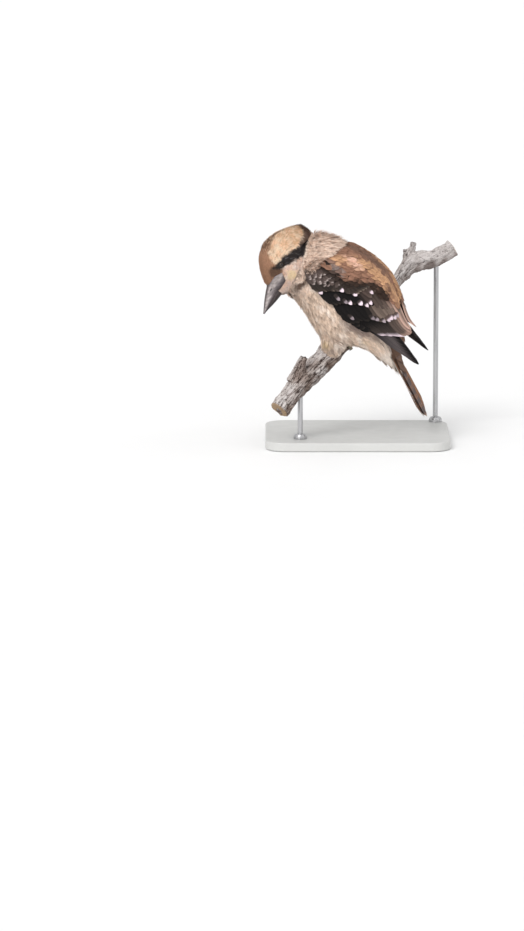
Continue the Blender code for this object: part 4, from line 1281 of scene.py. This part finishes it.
def wing_feathers(name, side, node):
    draw = np.random.default_rng(40 + side)
    rows = covert_row(side, GREATER_TIPS, np.linspace(16, 88, 15), 40, 11.5, 5.5, 2.4, greater_paint, draw)
    rows += covert_row(side, INNER_TIPS, np.linspace(34, 90, 15), 30, 9.0, 6.1, 2.6, inner_paint, draw)
    rows += covert_row(side, MEDIAN_TIPS, np.linspace(44, 91, 14), 24, 8.0, 6.5, 2.6, median_paint, draw)
    for tip in np.arange(-36, 44, 7.5):
        edge = ((80, tip), (92, tip))
        rows += covert_row(side, edge, [87.5], 24, 9.0, 3.6, 1.2, lambda *own: covert_tint(FLIGHT, BEIGE, 0.1, *own[1:]), draw)
    rows += spotted_feathers(side, draw)
    lesser = []
    for row in range(16):
        tips = [(place, behind - 4 - 4.2 * row) for place, behind in MEDIAN_TIPS]
        degrees = np.arange(50 + 2.8 * (row % 2), 93, 5.6) + draw.uniform(-0.8, 0.8)
        ends = row_of(tips, degrees)
        front = -64 - 5 * smoothstep(72, 86, degrees)
        degrees = degrees[(ends > front) & (degrees > scapular_edge(ends) - 4)]
        degrees = degrees + draw.uniform(-1.3, 1.3, len(degrees))
        lesser += covert_row(side, tips, degrees, 12, 6.0, 6.0, 1.4, lesser_paint, draw)
    sets = {
        "flight": flight_set(side, draw),
        "coverts": rows,
        "lesser_coverts": lesser,
        "scapulars": scapular_feathers(side, draw),
    }
    for kind, feathers in sets.items():
        tops, downs, tints = (np.array([feather[part] for feather in feathers]) for part in range(3))
        grid = math.ceil(math.sqrt(len(feathers)))
        bakes = np.array([atlas_place(index, grid) for index in range(len(feathers))])
        made = blades(f"{name}_{kind}", tops, downs, tints, bakes, feathers[0][3] * MM)
        if kind == "flight":
            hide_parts(node)


wing_feathers("left_wing", 1, "wing_left")
wing_feathers("right_wing", -1, "wing_right")


# The tail: twelve feathers with rufous bars, over coverts above and below.

RECTRIX_TIPS = (148, 146.5, 144, 141, 137, 131)


def tail_blade(root, tip, middle, width, level, rows):
    share = np.linspace(0, 1, rows)
    along = root[0] + (tip - root[0]) * share
    half = width / 2 * blade_width(share, 0.6, 0.86)
    across = BLADE_ACROSS[None] * half[:, None]
    y = middle(share)[:, None] + across
    z = level(share, across)
    x = np.broadcast_to(-along[:, None], y.shape)
    top = out_of(TAIL, np.stack([x, y, z], -1))
    down = np.broadcast_to(-unit(TAIL[:3, 2]), top.shape)
    return top, down, share, along


def tail_tint(along, tip, index, side, draw):
    v = along[:, None] * np.ones((1, WIDE))
    outer_web = smoothstep(-0.1, 0.5, BLADE_ACROSS * side)[None] * np.ones((len(along), 1))
    bars = smoothstep(0.1, 0.8, np.sin((tip - v) * math.tau / 14 + 0.3 * index))
    rufous = np.clip(bars * (0.38 + 0.09 * index) + 0.55 * outer_web * (index > 1), 0, 1)
    tint = mixed(TAIL_BROWN, TAIL_RUFOUS, rufous)
    tint = mixed(tint, PALE, 0.8 * smoothstep(tip - 3.5 - 0.5 * index, tip - 2.0 - 0.3 * index, v))
    shaft = np.where(np.abs(BLADE_ACROSS) < 0.2, 0.7, 1.0)[None, :, None]
    return tint * shaft * draw.uniform(0.85, 1.15)


def tail_feathers():
    draw = np.random.default_rng(77)
    made = []
    for side in (1, -1):
        for index, tip in enumerate(RECTRIX_TIPS):
            def middle(share):
                close = 1 - 0.35 * (1 - share)
                return side * (index + 0.5) * 2.4 * close

            def level(share, across):
                if index == 0:
                    return np.full_like(across, 2.4 + 0.35 * side)
                close = (1 - 0.35 * (1 - share))[:, None]
                return 0.8 / (2.4 * close) * across * side * 0.9 + 0.0 * close

            top, down, share, along = tail_blade((52,), tip, middle, 11, level, 30)
            made.append((top, down, tail_tint(along, tip, index, side, draw)))
    tops, downs, tints = (np.array([feather[part] for feather in made]) for part in range(3))
    bakes = np.array([atlas_place(index, 8) for index in range(len(made))])
    piece = blades("tail_feathers", tops, downs, tints, bakes, 0.3 * MM)
    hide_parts("tail")


tail_feathers()


def tail_coverts():
    """Long soft-edged coverts that run from the body over and under the tail."""
    draw = np.random.default_rng(78)
    made = []
    rows = (
        ("under", 9, 9.5, (8, -26), (54, -19.0), UNDERTAIL),
        ("under", 9, 8.5, (20, -19), (63, -14.5), UNDERTAIL),
        ("under", 7, 7.0, (34, -11), (71, -9.5), UNDERTAIL),
        ("over", 9, 9.0, (28, 11), (68, 6.8), RUMP),
        ("over", 7, 6.5, (38, 8), (84, 4.4), RUMP),
    )
    for kind, count, spread, root, tip, colour in rows:
        for index in range(count):
            place = 2 * index / (count - 1) - 1
            end = tip[0] - 7 * abs(place) + draw.uniform(-3, 1)

            def middle(share):
                return np.full_like(share, place * spread)

            def level(share, across):
                lift = root[1] + (tip[1] - root[1]) * share + (1 - abs(place)) * (1 if kind == "over" else -1)
                return lift[:, None] - 0.25 * np.abs(across) * (1 if kind == "over" else -1)

            top, down, share, along = tail_blade(root, end, middle, 8, level, 10)
            # Darker toward the root, under the feathers that overlap it, and a little lighter at the tip:
            # painted shade and painted light.
            tint = np.broadcast_to(np.asarray(colour), (10, WIDE, 3)) * (0.75 + 0.3 * share)[:, None, None]
            if kind == "over":
                bars = smoothstep(0.1, 0.8, np.sin(along * math.tau / 9))
                tint = mixed(tint, TAIL_BROWN, 0.5 * bars[:, None] * np.ones((1, WIDE)))
            made.append((top, down, tint * draw.uniform(0.85, 1.1)))
    tops, downs, tints = (np.array([feather[part] for feather in made]) for part in range(3))
    bakes = np.array([atlas_place(index, 8) for index in range(len(made))])
    blades("tail_coverts", tops, downs, tints, bakes, 0.15 * MM)


tail_coverts()


# Eyes, lids and bill.

def eye_material():
    made = Shader("eye", roughness=0.12)
    made.surface.inputs["Specular IOR Level"].default_value = 0.3
    made.surface.inputs["Coat Weight"].default_value = 0.35
    made.surface.inputs["Coat Roughness"].default_value = 0.02
    markings_node = made.node("ShaderNodeVertexColor", layer_name="Coat")
    fine = made.ramp(made.noise(1500, 3.0), [(0.35, (0.7, 0.7, 0.7)), (0.65, (1.0, 1.0, 1.0))])
    made.colour(made.mix(markings_node.outputs["Color"], fine))
    return made.material


def surface_grid(name, grid, material, colours, close_round):
    """A mesh over a grid of points, joined round its second side where asked."""
    rows, sides = grid.shape[:2]
    faces = []
    for row in range(rows - 1):
        for side in range(sides if close_round else sides - 1):
            beside = (side + 1) % sides
            a, b = row * sides + side, row * sides + beside
            faces.append((a, b, b + sides, a + sides))
    return make_mesh(name, grid, faces, material, colours)


def eyes():
    shader = eye_material()
    skin_shader = Shader("eyelid", roughness=0.6)
    skin_shader.surface.inputs["Specular IOR Level"].default_value = 0.15
    skin_shader.colour(skin_shader.ramp(skin_shader.noise(1200, 3.0), [(0.3, (0.012, 0.010, 0.009)), (0.7, (0.035, 0.029, 0.026))]))
    skin_shader.bump(skin_shader.noise(2500, 3.0), 0.4, 0.0002)
    for name, side in (("eye_left", 1), ("eye_right", -1)):
        polar = np.linspace(0.002, math.pi - 0.002, 33)
        turn = math.tau * np.arange(48) / 48
        ball = np.stack([
            np.sin(polar)[:, None] * np.cos(turn),
            np.broadcast_to(np.cos(polar)[:, None], (33, 48)),
            np.sin(polar)[:, None] * np.sin(turn),
        ], -1) * np.array([1, side, 1])
        centre = np.array([0, side * EYE_SIDE, 0])
        degrees = np.degrees(polar)[:, None] * np.ones((1, 48))
        tint = mixed((0.004, 0.003, 0.003), (0.036, 0.017, 0.008), smoothstep(19, 22, degrees))
        tint = mixed(tint, (0.01, 0.007, 0.005), smoothstep(36, 41, degrees))
        grid = out_of(HEAD_FRAME, centre + ball * EYE_RADIUS)
        eye = surface_grid(f"{name}_ball", grid, shader, tint, True)
        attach(eye, "root")
        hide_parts(name)
        around = math.tau * np.arange(64) / 64
        tube = math.tau * np.arange(16) / 16
        opening = np.where(np.sin(around) > 0, 3.7, 3.5)
        ring_x = np.cos(around) * 4.1
        ring_z = np.sin(around) * opening
        thick = 0.75 + 0.12 * np.sin(around * 9)
        radial = np.stack([np.cos(around), np.sin(around)], -1)
        grid = np.stack([
            ring_x[None] + np.cos(tube)[:, None] * thick * radial[None, :, 0],
            side * (EYE_SIDE + 3.9 - 0.17 * ring_x + np.sin(tube)[:, None] * thick),
            ring_z[None] + np.cos(tube)[:, None] * thick * radial[None, :, 1],
        ], -1)
        grid = np.concatenate([grid, grid[:1]])
        lid = surface_grid(f"{name}_lid", out_of(HEAD_FRAME, grid), skin_shader.material, None, True)
        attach(lid, "root")


eyes()


def horn_material():
    made = Shader("bill horn", roughness=0.44)
    made.surface.inputs["Specular IOR Level"].default_value = 0.45
    markings_node = made.node("ShaderNodeVertexColor", layer_name="Coat")
    streaks = made.ramp(made.noise(420, 5.0), [(0.3, (0.74, 0.74, 0.74)), (0.7, (1.0, 1.0, 1.0))])
    made.colour(made.mix(markings_node.outputs["Color"], streaks))
    made.bump(made.noise(900, 4.0), 0.25, 0.0003)
    return made.material


HORN = horn_material()


def skin_side(ahead, up, side):
    """How far to one side the head's skin lies at this place, or nothing where it isn't."""
    start = Vector(out_of(HEAD_FRAME, (ahead, side * 60.0, up)))
    way = Vector(-side * HEAD_FRAME[:3, 1]).normalized()
    place, _, _, _ = TREE.ray_cast(start, way)
    return 0.0 if place is None else abs(into(HEAD_FRAME, place)[1])


def half_bill(name, node, upper):
    steps, sides = 84, 48
    share = np.linspace(0, 1, steps + 1)
    along, keel, mouth, ridge, half = curve(UPPER_BILL if upper else LOWER_BILL, share).T
    start = mouth + (GAP / 2 if upper else -GAP / 2)
    reach = (ridge if upper else keel) - start
    angle = math.pi * np.arange(sides + 1) / sides
    peak = np.abs(np.sin(angle)) ** 1.15
    y = half[:, None] * np.cos(angle)[None]
    z = start[:, None] + reach[:, None] * peak[None]
    x = np.broadcast_to(along[:, None], y.shape).copy()
    height = np.broadcast_to(peak[None], y.shape)
    slit = np.full(y.shape, 9.0)
    if upper:
        # The horn's base spreads over the side of the face, back to the gape.
        for row, column in np.argwhere((x < 31) & (np.abs(np.cos(angle))[None] > 0.12)):
            place = x[row, column]
            high = z[row, column]
            side = 1 if y[row, column] > 0 else -1
            back = place - (8.0 + 0.42 * (-8.0 - high))
            lift = -1.2 + 2.1 * float(smoothstep(-1.6, 1.4, back))
            pushed = max(abs(y[row, column]), skin_side(place, high, side) + lift)
            share_here = smoothstep(0.12, 0.42, abs(math.cos(angle[column]))) * smoothstep(31, 27, place)
            y[row, column] += side * (pushed - abs(y[row, column])) * float(share_here)
        slit = np.hypot((x - 32.0 + 0.35 * (z + 13.8)) / 2.6, (z + 13.8) / 0.7)
        y = y * (1 - 0.16 * smoothstep(1.5, 0.4, slit))
    grid = np.stack([x, y, z], -1)
    horn_blotches = grain(grid.reshape(-1, 3) * MM, 0.007, 21).reshape(y.shape)
    far = (x - 29) / 34
    if upper:
        tint = mixed((0.070, 0.052, 0.055), (0.22, 0.185, 0.19), smoothstep(0.10, 0.42, height))
        # A pale stripe along each side below the ridge: a painted highlight.
        painted_highlight = smoothstep(0.35, 0.62, height + 0.10 * horn_blotches) * smoothstep(0.93, 0.78, height)
        tint = mixed(tint, (0.44, 0.385, 0.37), 0.8 * painted_highlight)
        tint = mixed(tint, (0.085, 0.065, 0.062), smoothstep(0.90, 0.97, height))
        tint = mixed(tint, (0.10, 0.085, 0.09), 0.7 * smoothstep(0.62, 1.0, far))
        tint = mixed(tint, (0.05, 0.035, 0.035), smoothstep(0.09, 0.02, height))
        tint = mixed(tint, (0.035, 0.028, 0.028), smoothstep(1.3, 0.7, slit))
    else:
        tint = mixed((0.075, 0.060, 0.062), (0.028, 0.021, 0.025), smoothstep(0.15, 0.6, height))
        tint = mixed(tint, (0.018, 0.014, 0.017), smoothstep(0.4, 1.0, far))
    streak = grain(grid.reshape(-1, 3) * MM * np.array([0.25, 1, 1]), 0.0016, 22).reshape(y.shape)
    tint = 0.88 * tint * np.clip(1 + 0.25 * horn_blotches + 0.28 * streak, 0.3, 2)[..., None]
    points = out_of(HEAD_FRAME, grid)
    closing = np.linspace(points[:, -1], points[:, 0], 10, axis=1)[:, 1:-1]
    points = np.concatenate([points, closing], axis=1)
    tint = np.concatenate([tint, np.broadcast_to(tint[:, :1], (steps + 1, 8, 3))], axis=1)
    rows, around = points.shape[:2]
    ends = [row.mean(axis=1, keepdims=True) * np.ones((1, around, 1)) for row in (points[:1], points[-1:])]
    points = np.concatenate([ends[0], points, ends[1]])
    tint = np.concatenate([tint[:1], tint, tint[-1:]])
    piece = surface_grid(name, points, HORN, tint, True)
    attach(piece, "root")
    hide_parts(node)


half_bill("upper_bill_horn", "bill_upper", True)
half_bill("lower_bill_horn", "bill_lower", False)


# The branch: grey weathered wood with long cracks, knots and broken twigs.

def wood_material():
    made = Shader("weathered wood", roughness=0.85)
    made.surface.inputs["Specular IOR Level"].default_value = 0.2
    markings_node = made.node("ShaderNodeVertexColor", layer_name="Coat")
    spot = made.node("ShaderNodeUVMap", uv_map="Vane")
    lines = made.noise(6.0, 8.0, (9.0, 1.2, 1.0), spot.outputs["UV"])
    fine = made.noise(14.0, 6.0, (16.0, 1.5, 1.0), spot.outputs["UV"])
    grey = made.ramp(lines, [(0.30, (0.45, 0.42, 0.40)), (0.46, (0.86, 0.84, 0.82)), (0.62, (1.0, 0.99, 0.98))])
    shade = made.mix(markings_node.outputs["Color"], grey)
    cracks = made.ramp(fine, [(0.36, (0.35, 0.31, 0.29)), (0.44, (1.0, 1.0, 1.0))])
    made.colour(made.mix(shade, cracks, 0.8))
    made.bump(made.mix(lines, fine, 0.5, "MIX"), 0.9, 0.0012)
    return made.material


WOOD = wood_material()


def tube(centres, radii, sides):
    """Rings round a line."""
    ways = unit(np.gradient(centres, axis=0))
    side = unit(np.cross(ways, np.array([0, 0, 1.0])))
    top = np.cross(side, ways)
    angle = math.tau * np.arange(sides) / sides
    out = side[:, None] * np.cos(angle)[:, None] + top[:, None] * np.sin(angle)[:, None]
    return centres[:, None] + out * radii[:, None, None]


def axis_places(points, centres, radii):
    """Where points are along and round a line: its length there, two directions, how far out."""
    length = np.concatenate([[0], np.cumsum(np.linalg.norm(np.diff(centres, axis=0), axis=1))])
    ways = unit(np.gradient(centres, axis=0))
    side = unit(np.cross(ways, np.array([0, 0, 1.0])))
    top = np.cross(side, ways)
    nearest_row = np.empty(len(points), int)
    for first in range(0, len(points), 5000):
        some = points[first:first + 5000]
        nearest_row[first:first + 5000] = np.linalg.norm(some[:, None] - centres[None], axis=2).argmin(1)
    off = points - centres[nearest_row]
    beyond = (off * ways[nearest_row]).sum(1)
    off = off - ways[nearest_row] * beyond[:, None]
    away = np.linalg.norm(off, axis=1)
    flat = unit(off)
    return {
        "s": length[nearest_row] + beyond,
        "total": length[-1],
        "x": (flat * side[nearest_row]).sum(1),
        "y": (flat * top[nearest_row]).sum(1),
        "away": away,
        "outside": away - radii[nearest_row],
        "way": ways[nearest_row],
    }


def wood_relief(x, y, s, seed):
    """The height of weathered wood, and how deep its clefts are, in millimetres."""
    height = np.empty(len(x))
    clefts = np.empty(len(x))
    for index in range(len(x)):
        u, v, t = x[index], y[index], s[index]
        strands = noise.noise(Vector((u * 3.0 + seed, v * 3.0, t * 0.020)))
        groove = abs(noise.noise(Vector((u * 6 + seed, v * 6, t * 0.030))))
        crack = abs(noise.noise(Vector((u * 11, v * 11 + seed, t * 0.045))))
        lumps = noise.noise(Vector((u * 1.2, v * 1.2 + seed, t * 0.055)))
        gnarl = abs(noise.noise(Vector((u * 2.4 + seed, v * 2.4, t * 0.085))))
        chips = noise.noise(Vector((u * 5, v * 5, t * 0.22 + seed)))
        cleft = max(0.0, 0.20 - groove) * 5.5 + max(0.0, 0.10 - crack) * 6.0 + max(0.0, 0.09 - gnarl) * 10.0
        clefts[index] = cleft
        height[index] = strands * 0.9 - cleft + lumps * 2.6 + gnarl * 1.8 - 0.4 + chips * 0.7
    return height, clefts


def branch():
    rows = curve(PERCH, np.linspace(0, 1, 260))
    axes = [(rows[:, :3], rows[:, 3] - 0.9)]
    for foot, end, wide, narrow in STUBS:
        steps = np.linspace(0, 1, 40)
        centres = np.array(foot, float) + (np.array(end, float) - np.array(foot, float)) * steps[:, None]
        axes.append((centres, narrow - 0.4 + (wide - narrow) * (1 - steps) ** 1.5))
    grids = [out_of(PICTURE, tube(centres, radii, 48)) for centres, radii in axes]
    made = one_surface("branch_wood", grids, 1.05, 8, WOOD)
    data = made.data
    flat = np.empty(len(data.vertices) * 3, np.float32)
    data.vertices.foreach_get("co", flat)
    points = into(PICTURE, flat.reshape(-1, 3).astype(float))
    data.vertices.foreach_get("normal", flat)
    normals = unit(flat.reshape(-1, 3).astype(float) @ PICTURE[:3, :3])
    fits = [axis_places(points, centres, radii) for centres, radii in axes]
    chosen = np.argmin([np.abs(fit["outside"]) + 3.0 * (index == 0) for index, fit in enumerate(fits)], axis=0)
    on_main = np.abs(fits[0]["outside"]) < 2.5
    chosen[on_main] = 0
    x, y, s, away = (np.choose(chosen, [fit[key] for fit in fits]) for key in ("x", "y", "s", "away"))
    relief, clefts = wood_relief(x, y, s + 40 * chosen, 2.0)
    main = fits[0]
    past = np.maximum(-main["s"], main["s"] - main["total"])
    cut = smoothstep(-0.9, 0.3, past) * (chosen == 0)
    ring = np.sin(away * math.tau / 1.5 + 1.2 * grain(points * MM, 0.012, 33))
    turn = np.arctan2(y, x)
    split = smoothstep(0.10, 0.02, np.abs(np.sin(turn * 1.5 + 0.25 * np.sin(away))) + 0.015 * np.abs(8 - away))
    split = split * smoothstep(2, 5, away) * cut
    swell = 0.05 * np.sin(3 * turn + 0.02 * s) + 0.03 * np.sin(5 * turn - 0.035 * s)
    height = relief * 0.95 + swell * 14 * (chosen == 0)
    stub_end = np.zeros(len(points))
    for index, fit in enumerate(fits[1:], 1):
        stub_end = np.maximum(stub_end, smoothstep(-1.2, 0.2, fit["s"] - fit["total"]) * (chosen == index))
    height = height * (1 - cut) + cut * (0.12 * ring - 1.0 * split)
    height = height * (1 - stub_end) + stub_end * (1.6 * grain(points * MM, 0.0035, 34) - 1.2)
    points = points + normals * height[:, None]
    data.vertices.foreach_set("co", out_of(PICTURE, points).astype(np.float32).ravel())
    places = points * MM
    tint = mixed((0.36, 0.295, 0.265), (0.70, 0.66, 0.65), smoothstep(-0.9, 0.9, grain(places, 0.045, 31)))
    tint = mixed(tint, (0.24, 0.165, 0.125), 0.75 * smoothstep(0.2, 1.1, grain(places, 0.030, 32)))
    tint = mixed(tint, (0.14, 0.10, 0.085), 0.55 * smoothstep(0.3, 1.2, grain(places * np.array([1, 1, 2.2]), 0.016, 35)))
    # Darker in the hollows of the relief: painted shade.
    tint = mixed(tint, (0.22, 0.15, 0.12), 0.5 * smoothstep(0.0, -1.2, relief))
    # Paler toward the right end; paler too on the upper left side, where the light falls: painted light.
    pale = smoothstep(0.03, 0.09, places[:, 0] + 0.012 * grain(places, 0.02, 37))
    lit = smoothstep(0.1, 0.9, 0.8 * normals[:, 2] - 0.5 * normals[:, 0] + 0.3 * grain(places, 0.018, 38))
    pale = np.maximum(pale, 0.7 * lit)
    tint = mixed(tint, (0.74, 0.71, 0.71), 0.75 * pale)
    # Near black in the clefts, less so where the wood is pale: painted shade.
    tint = mixed(tint, (0.050, 0.033, 0.028), smoothstep(0.30, 1.0, clefts * (1 - 0.45 * pale)))
    # Darker on the under side, which faces away from the light: painted shade.
    low = smoothstep(0.15, 0.85, -normals[:, 2] + 0.35 * grain(places, 0.02, 36))
    tint = mixed(tint, (0.14, 0.095, 0.078), 0.7 * low)
    sawn = mixed((0.50, 0.36, 0.22), (0.34, 0.22, 0.13), smoothstep(-0.2, 0.9, ring))
    sawn = mixed(sawn, (0.24, 0.15, 0.09), smoothstep(4.5, 1.5, away))
    sawn = mixed(sawn, (0.05, 0.03, 0.02), split)
    tint = mixed(tint, sawn, cut)
    tint = mixed(tint, (0.07, 0.05, 0.045), 0.9 * stub_end)
    attribute = data.color_attributes.new(name="Coat", type="FLOAT_COLOR", domain="POINT")
    rgba = np.ones((len(points), 4), np.float32)
    rgba[:, :3] = np.clip(tint, 0, 1)
    attribute.data.foreach_set("color", rgba.ravel())
    corners = np.empty(len(data.loops), np.int32)
    data.loops.foreach_get("vertex_index", corners)
    layer = data.uv_layers.new(name="Vane")
    across = np.stack([np.abs(turn) / math.pi, s / 60 + chosen], -1)[corners]
    layer.data.foreach_set("uv", across.astype(np.float32).ravel())
    data.update()
    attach(made, "root")
    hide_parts("perch")


branch()


# Feet: scaly toes that hold the branch, with dark claws.

def foot_material():
    made = Shader("scaly skin", roughness=0.55)
    markings_node = made.node("ShaderNodeVertexColor", layer_name="Coat")
    fine = made.ramp(made.noise(700, 3.0), [(0.3, (0.75, 0.75, 0.75)), (0.7, (1.0, 1.0, 1.0))])
    made.colour(made.mix(markings_node.outputs["Color"], fine))
    made.bump(made.noise(1800, 3.0), 0.4, 0.0002)
    return made.material


FOOT = foot_material()


def grip(place):
    rows = curve(PERCH, np.array([place - 0.01, place, place + 0.01]))
    way = unit(rows[2, :3] - rows[0, :3])
    up = BODY_POSE[:3, 2]
    up = unit(up - way * (up @ way))
    ahead = np.cross(way, up)
    if ahead @ BODY_POSE[:3, 0] < 0:
        ahead = -ahead
    return rows[1, :3], way, rows[1, 3], up, ahead


def feet():
    for name, place in FEET:
        pieces = []
        for spread, turn in TOES:
            steps = 56
            rings = []
            tints = []
            for step in range(steps + 1):
                share = step / steps
                centre, way, radius, up, ahead = grip(place + spread * (0.35 + 0.65 * share))
                angle = math.radians(turn * share)
                out = up * math.cos(angle) + ahead * math.sin(angle)
                clawed = max(0.0, (share - 0.72) / 0.28)
                pad = 1 + 0.10 * math.sin(share * 20) * (clawed == 0)
                scute = 1 + 0.035 * math.sin(share * 120) * (clawed == 0)
                thick = TOE_RADIUS * (1 - 0.2 * share) * (1 - 0.45 * (clawed > 0) - 0.5 * clawed) * pad * scute
                middle = centre + out * (radius * BARK_REACH + GAP + thick)
                corner = math.tau * np.arange(20) / 20
                rings.append(middle + (way[None] * np.cos(corner)[:, None] + out[None] * np.sin(corner)[:, None]) * thick)
                shade = mixed((0.30, 0.27, 0.19), (0.20, 0.17, 0.12), 0.5 + 0.5 * math.sin(share * 120))
                tints.append(np.broadcast_to(mixed(shade, (0.03, 0.025, 0.022), float(clawed > 0)), (20, 3)))
            pieces.append((np.array(rings), np.array(tints)))
        centre, way, radius, up, ahead = grip(place)
        foot = centre + up * (radius * BARK_REACH + GAP + TOE_RADIUS * 0.4)
        rings = []
        corner = math.tau * np.arange(20) / 20
        for height in np.linspace(-0.5, SHANK_LENGTH, 57):
            thick = 3.5 * (1 + 0.2 * math.exp(-height / 3)) * (1 + 0.03 * math.sin(height * 5))
            rings.append(foot + up * height + (way[None] * np.cos(corner)[:, None] + ahead[None] * np.sin(corner)[:, None]) * thick)
        pieces.append((np.array(rings), np.broadcast_to(np.array((0.28, 0.25, 0.18)), (57, 20, 3))))
        points = np.concatenate([rings.reshape(-1, 3) for rings, _ in pieces])
        tints = np.concatenate([tint.reshape(-1, 3) for _, tint in pieces])
        faces = []
        for part in range(len(pieces)):
            first = part * 57 * 20
            for row in range(56):
                for column in range(20):
                    beside = (column + 1) % 20
                    a, b = first + row * 20 + column, first + row * 20 + beside
                    faces.append((a, b, b + 20, a + 20))
        made = make_mesh(f"{name}_foot", out_of(PICTURE, points), faces, FOOT, tints)
        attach(made, "root")
        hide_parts(f"leg_{name}")


feet()


# The stand keeps its solids, with finer materials.

def paint_material():
    made = Shader("satin paint", roughness=0.38)
    tone = made.ramp(made.noise(9, 4.0), [(0.3, (0.52, 0.52, 0.505)), (0.7, (0.57, 0.57, 0.555))])
    made.colour(tone)
    made.link(made.ramp(made.noise(60, 5.0), [(0.3, (0.32,) * 3), (0.7, (0.46,) * 3)]), made.surface.inputs["Roughness"])
    made.bump(made.noise(1400, 2.0), 0.12, 0.0002)
    return made.material


def steel_material():
    made = Shader("brushed steel", roughness=0.3, metallic=1.0)
    lines = made.noise(60, 5.0, (12.0, 12.0, 0.5))
    made.colour(made.ramp(lines, [(0.3, (0.40, 0.40, 0.41)), (0.7, (0.56, 0.56, 0.57))]))
    made.link(made.ramp(lines, [(0.3, (0.24,) * 3), (0.7, (0.38,) * 3)]), made.surface.inputs["Roughness"])
    made.bump(lines, 0.06, 0.0001)
    return made.material


def dress(node, material):
    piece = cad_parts[node]
    for spot in piece.material_slots:
        spot.material = material


dress("stand_base", paint_material())
STEEL = steel_material()
dress("stand_rod_1", STEEL)
dress("stand_rod_2", STEEL)


# The studio.

def studio():
    shader = Shader("pale floor", roughness=0.9)
    shader.colour(shader.ramp(shader.noise(3, 3.0), [(0.3, (0.86, 0.86, 0.86)), (0.7, (0.89, 0.89, 0.89))]))
    side = 30.0
    corners = [(-side, -side, -0.0005), (side, -side, -0.0005), (side, side, -0.0005), (-side, side, -0.0005)]
    floor = make_mesh("floor", corners, [(0, 1, 2, 3)], shader.material)
    world = bpy.data.worlds.new("studio")
    bpy.context.scene.world = world
    world.use_nodes = True
    sky = world.node_tree.nodes["Background"]
    sky.inputs["Color"].default_value = (1.0, 1.0, 1.0, 1.0)
    sky.inputs["Strength"].default_value = 0.76
    for title, place, spread, power in (
        ("key", (-0.9, -1.4, 1.7), 30, 1.35),
        ("fill", (1.6, -0.9, 1.2), 60, 0.30),
        ("front", (-0.6, -1.6, 0.16), 60, 1.15),
    ):
        lamp = bpy.data.lights.new(title, "SUN")
        lamp.angle = math.radians(spread)
        lamp.energy = power
        held = bpy.data.objects.new(title, lamp)
        held.location = place
        held.rotation_euler = (-Vector(place)).to_track_quat("-Z", "Y").to_euler()
        bpy.context.scene.collection.objects.link(held)


studio()

CAMERA_AWAY = 7.0
FRAME_HEIGHT = 1.2569
AIM = (-129.6, 0.0, -222.8)  # the photo's centre on the picture plane


def camera():
    lens = bpy.data.cameras.new("camera")
    held = bpy.data.objects.new("camera", lens)
    lens.sensor_fit = "VERTICAL"
    lens.angle = 2 * math.atan(FRAME_HEIGHT / 2 / CAMERA_AWAY)
    lens.clip_end = 100.0
    aim = Vector(out_of(PICTURE, AIM))
    forward = Vector((0, math.cos(LEAN), -math.sin(LEAN)))
    held.location = aim - forward * CAMERA_AWAY
    held.rotation_euler = forward.to_track_quat("-Z", "Y").to_euler()
    bpy.context.scene.collection.objects.link(held)
    bpy.context.scene.camera = held
    bpy.context.scene.view_settings.view_transform = "Standard"


camera()
